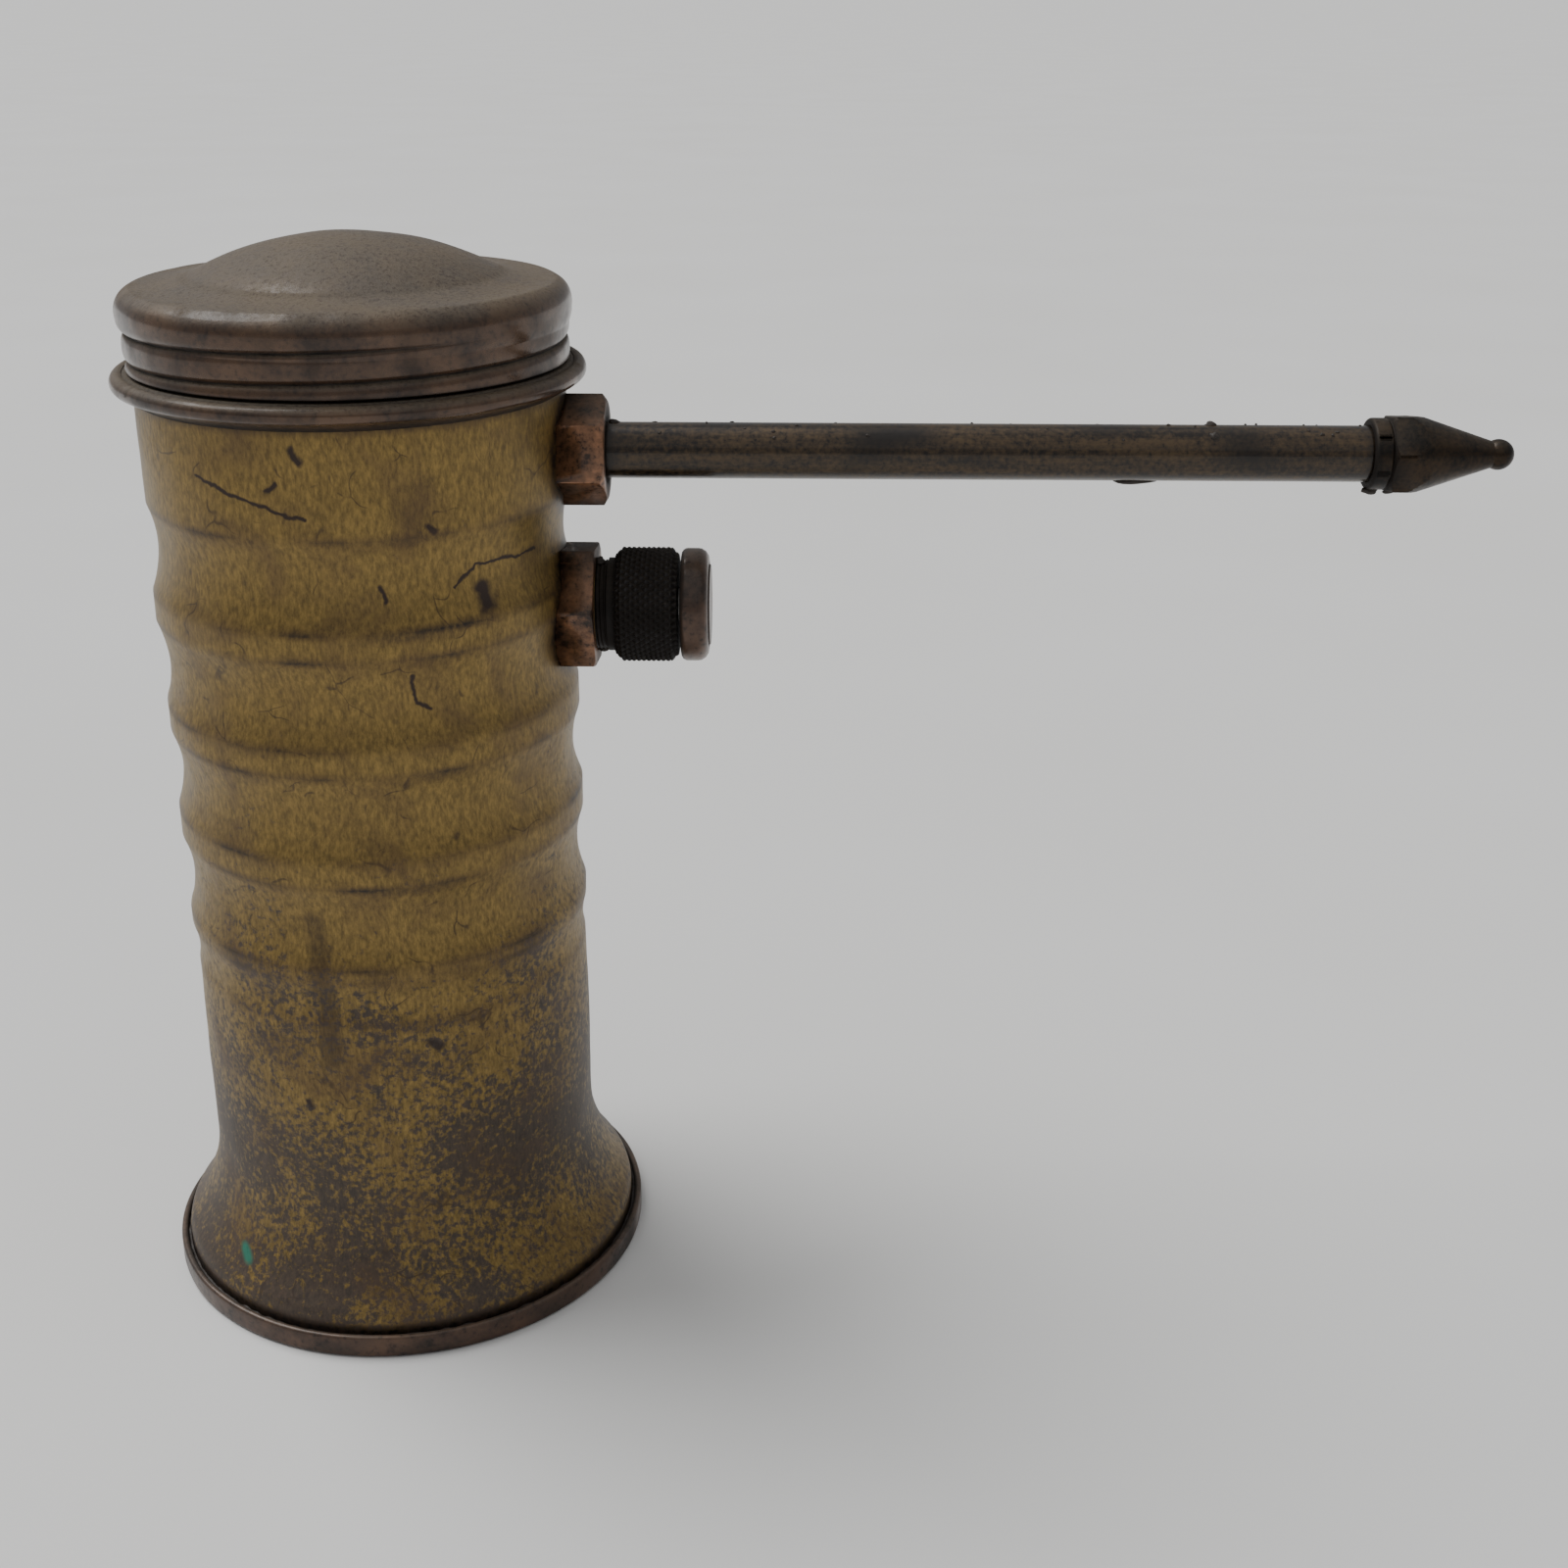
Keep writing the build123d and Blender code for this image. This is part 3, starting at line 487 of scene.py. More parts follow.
def spun_brass():
    """Spun brass, tarnished by years of oily hands: olive where it is rubbed, brown where oil has
    baked on, and mottled low down. A soft grease film greys it where it is seen along its face."""
    material, tree, place = blank_material("tarnished spun brass")
    height = add(tree, "SeparateXYZ", {0: place}).outputs["Z"]
    broad = add(
        tree, "TexNoise", {"Vector": place, "Scale": 1 / 16, "Detail": 4.0, "Roughness": 0.6}
    )
    flecks = add(
        tree, "TexNoise", {"Vector": place, "Scale": 1 / 0.75, "Detail": 5.0, "Roughness": 0.62}
    )
    drawn = add(tree, "Mapping", {"Vector": place, "Scale": (1 / 0.4, 1 / 0.4, 1 / 1.1)})
    grit = add(tree, "TexNoise", {"Vector": drawn, "Scale": 1.0, "Detail": 3.0, "Roughness": 0.7})
    grit = add(tree, "MapRange", {"Value": grit, "From Min": 0.34, "From Max": 0.66})
    worn = add(
        tree,
        "MapRange",
        {"Value": height, "From Min": 22.0, "From Max": 74.0, "To Min": -0.03, "To Max": 0.3},
    )
    cover = add(
        tree,
        "MapRange",
        {"Value": broad, "From Min": 0.3, "From Max": 0.7, "To Min": -0.17, "To Max": 0.15},
    )
    level = add(tree, "Math", {0: flecks, 1: worn}, operation="ADD")
    level = add(tree, "Math", {0: level, 1: cover}, operation="ADD")
    rubbed = add(tree, "MapRange", {"Value": level, "From Min": 0.44, "From Max": 0.58})
    olive = add(
        tree, "MixRGB", {"Fac": grit, "Color1": linear("5F4C22"), "Color2": linear("8D733A")}
    )
    brown = add(
        tree, "MixRGB", {"Fac": grit, "Color1": linear("30261D"), "Color2": linear("4A3B2C")}
    )
    colour = add(tree, "MixRGB", {"Fac": rubbed, "Color1": brown, "Color2": olive})
    stain = add(
        tree, "TexNoise", {"Vector": place, "Scale": 1 / 9, "Detail": 6.0, "Distortion": 0.8}
    )
    stained = add(
        tree,
        "MapRange",
        {"Value": stain, "From Min": 0.5, "From Max": 0.72, "To Min": 0.0, "To Max": 0.6},
    )
    colour = add(tree, "MixRGB", {"Fac": stained, "Color1": colour, "Color2": linear("4A3521")})
    spots = add(tree, "TexVoronoi", {"Vector": place, "Scale": 1 / 4.5, "Randomness": 1.0})
    spotty = add(
        tree,
        "MapRange",
        {"Value": spots, "From Min": 0.05, "From Max": 0.1, "To Min": 0.75, "To Max": 0.0},
    )
    spotty = add(tree, "Math", {0: spotty, 1: flecks}, operation="MULTIPLY")
    colour = add(tree, "MixRGB", {"Fac": spotty, "Color1": colour, "Color2": linear("1C140E")})
    scratch = add(tree, "Math", {0: hair_scratches(tree, place), 1: 0.6}, operation="MULTIPLY")
    scratch = add(tree, "Math", {0: scratch, 1: knocks(tree, place, flecks)}, operation="MAXIMUM")
    colour = add(tree, "MixRGB", {"Fac": scratch, "Color1": colour, "Color2": linear("2A1A10")})
    # The per-vertex attribute: grime with painted shade in the creases, and the nuts' painted
    # shadows, brown to near black.
    dirt_and_shade = add(tree, "Attribute", attribute_name="soil_and_shade").outputs["Fac"]
    broken = add(
        tree,
        "MapRange",
        {"Value": flecks, "From Min": 0.3, "From Max": 0.6, "To Min": 0.55, "To Max": 1.0},
    )
    dirt_and_shade = add(tree, "Math", {0: dirt_and_shade, 1: broken}, operation="MULTIPLY")
    creased = add(
        tree, "MixRGB", {"Fac": dirt_and_shade, "Color1": linear("4A3019"), "Color2": linear(GRIME_AND_SHADE)}
    )
    colour = add(tree, "MixRGB", {"Fac": dirt_and_shade, "Color1": colour, "Color2": creased})
    front = add(tree, "VectorMath", {0: place, 1: (1, 0, 1)}, operation="MULTIPLY")
    verdigris = near_stroke(tree, front, (-16.9, 8.3), (-16.5, 7.7), 0.9)
    colour = add(tree, "MixRGB", {"Fac": verdigris, "Color1": colour, "Color2": linear("1F6A55")})
    roughness = add(
        tree,
        "MapRange",
        {"Value": level, "From Min": 0.4, "From Max": 0.75, "To Min": 0.62, "To Max": 0.44},
    )
    metal = add(tree, "MapRange", {"Value": rubbed, "To Min": 0.25, "To Max": 0.6})
    bump = add(tree, "Bump", {"Height": flecks, "Strength": 0.35, "Distance": 0.03 * MM})
    bump = add(
        tree, "Bump", {"Height": grit, "Strength": 0.3, "Distance": 0.01 * MM, "Normal": bump}
    )
    finish_material(
        tree,
        {
            "Base Color": colour,
            "Metallic": metal,
            "Roughness": roughness,
            "Normal": bump,
            "Coat Weight": 0.3,
            "Coat Roughness": 0.45,
        },
    )
    return material


shell = turned("spun_shell", sheet_outline(shell_side(spacing=0.8), WALL), sides=240)
reshape(shell, shell_radius)
drill(shell, SPOUT_HOLE, SPOUT_HEIGHT)
drill(shell, PUMP_HOLE, PUMP_HEIGHT)
soil_and_shade(shell, shell_grime_and_shade)
shell.data.materials.append(spun_brass())
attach(shell, "reservoir")
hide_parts("reservoir_shell")

# ------------------------------------------------------------------------------------------------
# Base pan: a copper disc pressed to a shallow pan, its rim turned up round the foot of the shell
# and soldered. The gap between rim and skirt is packed with black grease and fluff.
# ------------------------------------------------------------------------------------------------
PAN_FLOOR = 0.8
PAN_GAP = 0.5
PAN_RIM_WALL = 0.85
PAN_RIM_TOP = 2.9
PAN_EDGE_ROUND = 0.5
PAN_RIM_ROUND = 0.45 * PAN_RIM_WALL
PAN_OUT_OF_ROUND = 0.03
PAN_RADIUS = SKIRT_RADIUS + PAN_GAP + PAN_RIM_WALL
GREASE_FROM = SKIRT_RADIUS + 0.05
GREASE_SIDES = (2.3, 2.5)
GREASE_LUMP = 1.3
GREASE_LUMP_HEIGHT = 0.35 * MM


def corner(before, point, after, radius, steps=4):
    """Points that round off an outline's corner."""
    point = Vector(point)
    to_before = (Vector(before) - point).normalized()
    to_after = (Vector(after) - point).normalized()
    half = to_before.angle(to_after) / 2
    trim = radius / math.tan(half)
    start, end = point + to_before * trim, point + to_after * trim
    centre = point + (to_before + to_after).normalized() * radius / math.sin(half)
    points = []
    for step in range(steps + 1):
        spoke = (start - centre).lerp(end - centre, step / steps).normalized() * radius
        points.append(tuple(centre + spoke))
    return points


def rounded(points, radii, spacing=2.0):
    """A closed outline with each corner rounded to its radius, and its sides cut to the spacing."""
    outline = []
    for number, (point, radius) in enumerate(zip(points, radii)):
        before, after = points[number - 1], points[(number + 1) % len(points)]
        bend_here = corner(before, point, after, radius) if radius else [point]
        if outline:
            outline += straight(outline[-1], bend_here[0], spacing)
        outline += bend_here if not outline else bend_here[1:]
    return outline + straight(outline[-1], outline[0], spacing)


def old_metal(
    name, rubbed, tarnished, patch, fleck, metallic, roughness, film, dust, pits=0.5, specular=0.5
):
    """Handled metal: rubbed and tarnished patches, dark pits, scratches, grime and painted shade
    from the piece's own per-vertex attribute, and matt gritty dust on what faces up. patch and
    fleck are sizes in millimetres, roughness is that of the polished and of the worn places, and
    film is how much of a gloss of old oil lies on it."""
    material, tree, place = blank_material(name)
    broad = add(
        tree, "TexNoise", {"Vector": place, "Scale": 1 / patch, "Detail": 5.0, "Roughness": 0.6}
    )
    flecks = add(
        tree, "TexNoise", {"Vector": place, "Scale": 1 / fleck, "Detail": 4.0, "Roughness": 0.6}
    )
    softened = add(tree, "MapRange", {"Value": flecks, "To Min": 0.3, "To Max": 0.7})
    level = add(tree, "Math", {0: broad, 1: softened}, operation="ADD")
    bare = add(tree, "MapRange", {"Value": level, "From Min": 0.85, "From Max": 1.15})
    colour = add(
        tree, "MixRGB", {"Fac": bare, "Color1": linear(tarnished), "Color2": linear(rubbed)}
    )
    pit = add(
        tree,
        "MapRange",
        {"Value": flecks, "From Min": 0.36, "From Max": 0.42, "To Min": pits, "To Max": 0.0},
    )
    colour = add(tree, "MixRGB", {"Fac": pit, "Color1": colour, "Color2": linear(GRIME_AND_SHADE)})
    stretched = add(
        tree, "Mapping", {"Vector": place, "Rotation": (0.3, 0.5, 0.8), "Scale": (0.12, 2.6, 2.6)}
    )
    hair = add(tree, "TexNoise", {"Vector": stretched, "Scale": 1.0, "Detail": 3.0})
    scratch = add(
        tree,
        "MapRange",
        {"Value": hair, "From Min": 0.66, "From Max": 0.72, "To Min": 0.0, "To Max": 0.45},
    )
    colour = add(tree, "MixRGB", {"Fac": scratch, "Color1": colour, "Color2": linear(rubbed)})
    # The per-vertex attribute darkens the piece with its grime and painted shade.
    dirt_and_shade = add(tree, "Attribute", attribute_name="soil_and_shade").outputs["Fac"]
    colour = add(tree, "MixRGB", {"Fac": dirt_and_shade, "Color1": colour, "Color2": linear(GRIME_AND_SHADE)})
    facing = add(tree, "NewGeometry").outputs["Normal"]
    facing_up = add(tree, "SeparateXYZ", {0: facing}).outputs["Z"]
    settled = add(
        tree,
        "MapRange",
        {"Value": facing_up, "From Min": 0.2, "From Max": 0.95, "To Min": 0.0, "To Max": dust},
    )
    uneven = add(
        tree, "MapRange", {"Value": flecks, "From Min": 0.3, "From Max": 0.6, "To Min": 0.65}
    )
    settled = add(tree, "Math", {0: settled, 1: uneven}, operation="MULTIPLY")
    dust_tone = add(
        tree, "MixRGB", {"Fac": broad, "Color1": linear("57504A"), "Color2": linear("625640")}
    )
    grains = add(
        tree, "TexNoise", {"Vector": place, "Scale": 1 / 0.45, "Detail": 3.0, "Roughness": 0.8}
    )
    gritty = add(
        tree, "MapRange", {"Value": grains, "From Min": 0.5, "From Max": 0.66, "To Max": 0.75}
    )
    dust_tone = add(
        tree, "MixRGB", {"Fac": gritty, "Color1": dust_tone, "Color2": linear(tarnished)}
    )
    colour = add(tree, "MixRGB", {"Fac": settled, "Color1": colour, "Color2": dust_tone})
    dull = add(tree, "Math", {0: dirt_and_shade, 1: settled}, operation="ADD", use_clamp=True)
    polished, worn = roughness
    shine = add(
        tree,
        "MapRange",
        {"Value": level, "From Min": 0.8, "From Max": 1.2, "To Min": worn, "To Max": polished},
    )
    rough = add(tree, "MapRange", {"Value": dull, "To Min": shine, "To Max": 0.75})
    metal = add(tree, "MapRange", {"Value": dull, "To Min": metallic, "To Max": 0.0})
    grit = add(tree, "Math", {0: grains, 1: settled}, operation="MULTIPLY")
    oiled = add(tree, "MapRange", {"Value": dull, "To Min": film, "To Max": 0.0})
    bump = add(tree, "Bump", {"Height": flecks, "Strength": 0.25, "Distance": 0.03 * MM})
    bump = add(
        tree, "Bump", {"Height": scratch, "Strength": 0.3, "Distance": 0.02 * MM, "Normal": bump}
    )
    bump = add(
        tree, "Bump", {"Height": grit, "Strength": 0.6, "Distance": 0.15 * MM, "Normal": bump}
    )
    finish_material(
        tree,
        {
            "Base Color": colour,
            "Metallic": metal,
            "Roughness": rough,
            "Normal": bump,
            "Specular IOR Level": specular,
            "Coat Weight": oiled,
            "Coat Roughness": 0.16,
        },
    )
    return material


def handled_copper():
    """Copper, pressed and then handled for decades: brown with redder rubbed places, and glossy
    where oily fingers have polished it."""
    return old_metal(
        "handled copper", "5A4334", "30241E", patch=9, fleck=0.8, metallic=0.6,
        roughness=(0.3, 0.5), film=0.3, dust=0.3,
    )


aged_copper = handled_copper()
rim_inside = PAN_RADIUS - PAN_RIM_WALL
pan_outline = rounded(
    [
        (PAN_RADIUS, 0.0),
        (PAN_RADIUS, PAN_RIM_TOP),
        (rim_inside, PAN_RIM_TOP),
        (rim_inside, PAN_FLOOR),
        (0.0, PAN_FLOOR),
        (0.0, 0.0),
    ],
    (PAN_EDGE_ROUND, PAN_RIM_ROUND, PAN_RIM_ROUND, 0.2, 0, 0),
    spacing=0.7,
)
pan = turned("base_dish", pan_outline, sides=240)


def pan_radius(radius, angle, height):
    """The rim's outside, beaten slightly out of round."""
    if radius < rim_inside - 1:
        return radius
    return radius - PAN_OUT_OF_ROUND * (1 + ripple(angle, height, 7, 11))


def pan_grime(radius, angle, height):
    """Black where the rim's inside meets the skirt, and patchy on the rim's top."""
    inside = line_of_grime_and_shade(max(0.0, radius - rim_inside), 0.25)
    return inside + 0.5 * max(0.0, ripple(angle, height, 5, 12))


reshape(pan, pan_radius)
soil_and_shade(pan, pan_grime)
pan.data.materials.append(aged_copper)
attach(pan, "reservoir")
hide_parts("base_pan")


def packed_grime():
    """Old grease and dust, packed by hand use: near black and matt, with a greasy glint."""
    material, tree, place = blank_material("packed grease and dust")
    lumps = add(
        tree, "TexNoise", {"Vector": place, "Scale": 1 / 0.5, "Detail": 5.0, "Roughness": 0.7}
    )
    tone = add(
        tree, "MixRGB", {"Fac": lumps, "Color1": linear("0F0C0A"), "Color2": linear("3A2F26")}
    )
    shine = add(tree, "MapRange", {"Value": lumps, "To Min": 0.35, "To Max": 0.8})
    bump = add(tree, "Bump", {"Height": lumps, "Strength": 0.8, "Distance": 0.15 * MM})
    finish_material(tree, {"Base Color": tone, "Roughness": shine, "Normal": bump})
    return material


grime = packed_grime()
grime_fill = turned(
    "rim_grease",
    rounded(
        [
            (GREASE_FROM, PAN_FLOOR),
            (rim_inside, PAN_FLOOR),
            (rim_inside, GREASE_SIDES[0]),
            (GREASE_FROM, GREASE_SIDES[1]),
        ],
        (0, 0, 0.12, 0.12),
        spacing=0.15,
    ),
    sides=360,
)
for vertex in grime_fill.data.vertices:
    if vertex.co.z > 2 * MM:
        vertex.co.z += GREASE_LUMP_HEIGHT * noise.noise(vertex.co / MM / GREASE_LUMP)
grime_fill.data.materials.append(grime)
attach(grime_fill, "reservoir")

# ------------------------------------------------------------------------------------------------
# Neck collar: a bronze ring sweated on to the shell's top. A bead runs round it, a sloping ledge
# lies under the cap's lip, and the neck above carries one and a quarter turns of rolled thread.
# ------------------------------------------------------------------------------------------------
NECK_BORE = 22.3
NECK_RADIUS = 23.05
NECK_FOOT = 109.2
NECK_TOP = 119.9
NECK_BREAK = 0.2
LEDGE = 113.35
BEAD_PLACE = (25.2, 112.3)
BEAD_RADIUS = 0.98
BEAD_CREASE = 0.32
THREAD_LEAD = 3.175
NECK_THREAD_START = 114.1
NECK_THREAD_TURNS = 1.25
NECK_THREAD_RISE = 0.42
NECK_THREAD_WIDTH = 1.2
THREAD_RUN_OUT = 1 / 12      # in turns
CRACK_ANGLE = math.radians(-141)


def dusty_bronze():
    """Bronze, pressed and lacquered brown by age: dark and glossy where it is rubbed, dusty grey
    on what faces up, with fine grit stuck in the film."""
    return old_metal(
        "dusty brown bronze", "58412F", "30221A", patch=8, fleck=0.7, metallic=0.5,
        roughness=(0.2, 0.38), film=0.5, dust=0.95, pits=0.25, specular=0.35,
    )


aged_bronze = dusty_bronze()


def on_circle(centre, radius, start, end, steps):
    """Points on an arc, with its start and end in degrees."""
    points = []
    for step in range(steps + 1):
        angle = math.radians(start + (end - start) * step / steps)
        points.append((centre[0] + radius * math.cos(angle), centre[1] + radius * math.sin(angle)))
    return points


bead = on_circle(BEAD_PLACE, BEAD_RADIUS, start=112, end=-98, steps=20)
collar_outline = [(NECK_BORE, NECK_FOOT), (NECK_BORE, NECK_TOP - NECK_BREAK)]
collar_outline += [(NECK_BORE + NECK_BREAK, NECK_TOP), (NECK_RADIUS - NECK_BREAK, NECK_TOP)]
collar_outline += [(NECK_RADIUS, NECK_TOP - NECK_BREAK)]
collar_outline += straight(collar_outline[-1], (NECK_RADIUS, LEDGE), 0.14)
collar_outline += [(bead[0][0] - BEAD_CREASE, LEDGE), (bead[0][0] - 0.05, bead[0][1] - 0.1)]
collar_outline += bead
collar_outline += [(BODY_RADIUS + 0.6, BODY_TOP + 0.35), (BODY_RADIUS, BODY_TOP)]
collar_outline += [(NECK_RADIUS, BODY_TOP), (NECK_RADIUS, NECK_FOOT), (NECK_BORE, NECK_FOOT)]
collar = turned("beaded_collar", collar_outline, sides=288)


def turn_share(angle):
    """How far round from the spout's side an angle lies, 0 to 1."""
    return (angle / math.tau) % 1.0


def neck_radius(radius, angle, height):
    """The neck with its rolled ridge, and the bead slightly out of true."""
    if radius > NECK_RADIUS + 0.5:
        return radius + 0.05 * ripple(angle, height, 6, 21)
    if radius < NECK_RADIUS - 0.1 or height < LEDGE + 0.05:
        return radius
    rise = 0.0
    for lap in (0, 1):
        travelled = lap + turn_share(angle)
        if travelled < NECK_THREAD_TURNS:
            middle = NECK_THREAD_START + THREAD_LEAD * travelled
            off = (height - middle) / (NECK_THREAD_WIDTH / 2)
            from_end = min(travelled, NECK_THREAD_TURNS - travelled)
            run_out = min(1.0, from_end / THREAD_RUN_OUT)
            rise += NECK_THREAD_RISE * run_out * max(0.0, 1 - off * off)
    return radius + rise


def collar_grime_and_shade(radius, angle, height):
    """Painted shadow under the cap's lip, and black in the crease beside the bead and in one crack
    of the ledge.
    """
    crease = line_of_grime_and_shade(math.hypot(radius - bead[0][0] + 0.1, height - bead[0][1]), 0.28)
    # Painted shadow of the cap's lip on the neck and the inner ledge.
    under_lip = 0.9 * line_of_grime_and_shade(max(0.0, radius - 24.5), 0.12) * (height > 112.8)
    turn_off = (angle - CRACK_ANGLE + math.pi) % math.tau - math.pi
    crack = line_of_grime_and_shade(turn_off * radius, 0.22) * (radius > 24.4) * (height > 112.4)
    below = line_of_grime_and_shade(height - BODY_TOP - 0.2, 0.4)
    blotch = 0.35 * max(0.0, ripple(angle, height, 3, 22))
    return crease + under_lip + crack + below + blotch


reshape(collar, neck_radius)
soil_and_shade(collar, collar_grime_and_shade)
collar.data.materials.append(aged_bronze)
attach(collar, "reservoir")
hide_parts("neck_collar")

# ------------------------------------------------------------------------------------------------
# Filler cap: thin bronze sheet pressed to a dome, with a big bead at its rim and the screw thread
# rolled right through its skirt, so that its grooves show outside. Grit has settled on its top.
# ------------------------------------------------------------------------------------------------
CAP_LIP = 113.6
CAP_RADIUS = 24.4
CAP_SHEET = 0.5
RIM_BEAD_RADIUS = 24.75
RIM_BEAD_LOW = 117.6
RIM_BEAD_MIDDLE = 119.2
SHOULDER = (22.9, 122.3)
DOME_FOOT = (17.3, 123.05)
DOME_TOP = 127.37
GROOVE_START = 112.78
GROOVE_DEPTH = 0.72
GROOVE_TURNS = 1.89
GROOVE_FADE = 0.12
GROOVE_REACH = 1.5
GROOVE_ROUND = 2.6
CAP_DENT = 0.04
DOME_DENT = 0.1 * MM
DOME_DENT_SIZE = 6


def cap_groove(angle, height):
    """How deep the rolled thread's groove is there, 0 to 1."""
    depth = 0.0
    for lap in (0, 1):
        travelled = lap + turn_share(angle)
        off = abs(height - GROOVE_START - THREAD_LEAD * travelled) / GROOVE_REACH
        fade = min(1.0, max(0.0, (GROOVE_TURNS - travelled) / GROOVE_FADE))
        near = max(0.0, 1 - off)
        depth = max(depth, fade * (1 - math.sqrt(max(0.0, 1 - near ** GROOVE_ROUND))))
    return depth


def cap_radius(radius, angle, height):
    """The skirt and its bead, drawn in where the groove runs, with small dents."""
    if radius < SHOULDER[0] - 0.3:
        return radius
    dents = CAP_DENT * ripple(angle, height, 5, 31)
    return radius - GROOVE_DEPTH * cap_groove(angle, height) + dents


def cap_grime_and_shade(radius, angle, height):
    """Darker along the bottom of the groove, painted shade along the lip, and grime where the dome
    meets the shoulder.
    """
    amount = 0.0
    if radius > SHOULDER[0]:
        for lap in (0, 1):
            travelled = lap + turn_share(angle)
            fade = min(1.0, max(0.0, (GROOVE_TURNS - travelled) / GROOVE_FADE))
            amount += fade * line_of_grime_and_shade(height - GROOVE_START - THREAD_LEAD * travelled, 0.24)
        # Painted shade along the cap's lip.
        amount += line_of_grime_and_shade(height - CAP_LIP, 0.2)
        amount += 0.3 * max(0.0, ripple(angle, height, 3, 32))
    from_foot = math.hypot(radius - DOME_FOOT[0], height - DOME_FOOT[1])
    return amount + 0.35 * line_of_grime_and_shade(from_foot, 0.5)


cap_side = [(CAP_RADIUS - 0.15, CAP_LIP), (CAP_RADIUS, CAP_LIP + 0.15)]
cap_side += straight(cap_side[-1], (CAP_RADIUS, RIM_BEAD_LOW), 0.12)
cap_side += bowed(cap_side[-1], (RIM_BEAD_RADIUS, RIM_BEAD_MIDDLE), -0.08, 0.12)
cap_side += bowed(cap_side[-1], SHOULDER, -0.72, 0.2)
cap_side += bowed(cap_side[-1], DOME_FOOT, 0.2, 0.4)
cap_side += bowed(cap_side[-1], (0.0, DOME_TOP), -1.15, 0.6)
cap = turned("pressed_cap", sheet_outline(cap_side, CAP_SHEET), sides=288)
reshape(cap, cap_radius)
for vertex in cap.data.vertices:
    if SHOULDER[1] * MM < vertex.co.z < DOME_TOP * MM:
        vertex.co.z += DOME_DENT * (noise.noise(vertex.co / MM / DOME_DENT_SIZE) - 0.6)
soil_and_shade(cap, cap_grime_and_shade)
cap.data.materials.append(aged_bronze)
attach(cap, "cap")
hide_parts("filler_cap")

# ------------------------------------------------------------------------------------------------
# Spout and barrel nuts: hexagons sawn from bronze bar, faced and chamfered on the lathe, their
# backs hollowed to sit on the round wall. Neither is square to the can: each stopped where it
# came tight.
# ------------------------------------------------------------------------------------------------
SPOUT_RADIUS = 3.175
SPOUT_NUT_FLATS = 11.0
SPOUT_NUT_TURN = -6.0
SPOUT_NUT = (22.2, 28.45)
SPOUT_NUT_CHAMFER = 0.85
BARREL_RADIUS = 4.95
BARREL_NUT_FLATS = 13.5
BARREL_NUT_TURN = 22.0
BARREL_NUT = (21.6, 26.8)
BARREL_NUT_CHAMFER = 0.45
NUT_EDGE = 0.14
NUT_BORE_GREASE = 4.1
# Below this height the nut's back gets painted shade, where it meets the wall.
NUT_WALL_SHADE = 23.3


def filed_bronze():
    """Bar bronze, faced on the lathe: plain brown flats with rubbed arrises and dark corners."""
    return old_metal(
        "filed bronze bar", "9E7050", "33241B", patch=5, fleck=0.6, metallic=0.5,
        roughness=(0.3, 0.5), film=0.3, dust=0.35,
    )


def cut_flats(piece, flats, first_angle):
    """Slices a turned blank to a hexagon with the bisect tool, and fills each cut."""
    put_down_tools()
    bpy.context.view_layer.objects.active = piece
    bpy.ops.object.mode_set(mode="EDIT")
    for number in range(6):
        angle = math.radians(first_angle + number * 60)
        outward = Vector((math.cos(angle), math.sin(angle), 0))
        bpy.ops.mesh.select_all(action="SELECT")
        bpy.ops.mesh.bisect(
            plane_co=outward * flats / 2 * MM, plane_no=outward, use_fill=True, clear_outer=True
        )
    bpy.ops.object.mode_set(mode="OBJECT")


def ease_edges(piece, width):
    """Bevels the piece's sharp edges."""
    bevel = piece.modifiers.new("eased edges", "BEVEL")
    bevel.width = width * MM
    bevel.segments = 3
    bevel.limit_method = "ANGLE"
    bevel.angle_limit = math.radians(28)
    bevel.miter_outer = "MITER_ARC"
    apply_all(piece)
    bpy.ops.object.shade_smooth_by_angle(angle=SMOOTH_ANGLE)


def lay_along_x(piece, height):
    """Turns a piece that stands on Z to lie along X, at that height."""
    put_down_tools()
    bpy.context.view_layer.objects.active = piece
    piece.select_set(True)
    piece.rotation_euler = (0, math.pi / 2, 0)
    piece.location = (0, 0, height * MM)
    bpy.ops.object.transform_apply(location=True, rotation=True, scale=True)


def hollow_back(piece):
    """Cuts the back of a nut to the shell's rolled outside."""
    outline = [(0.0, FOOT)] + shell_side(spacing=1.5) + [(0.0, BODY_TOP)]
    cut_away(piece, turned("former", outline, sides=120))


def nut_blank(name, flats, span, chamfer, bore, countersink):
    """The turned blank of a nut that is as wide as its corners."""
    start, end = span
    widest = flats / math.sqrt(3)
    outline = [(bore, start), (widest, start)]
    outline += straight(outline[-1], (widest, end - chamfer * 0.6), 1.0)
    outline += [(widest - chamfer, end), (bore + countersink, end), (bore, end - countersink)]
    return turned(name, outline + [(bore, start)], sides=96)


aged_bar = filed_bronze()
spout_nut = nut_blank(
    "spout_hexagon", SPOUT_NUT_FLATS, SPOUT_NUT, SPOUT_NUT_CHAMFER, SPOUT_RADIUS + 0.03, 0.7
)
barrel_nut = nut_blank(
    "barrel_hexagon", BARREL_NUT_FLATS, BARREL_NUT, BARREL_NUT_CHAMFER, BARREL_RADIUS + 0.05, 0.3
)


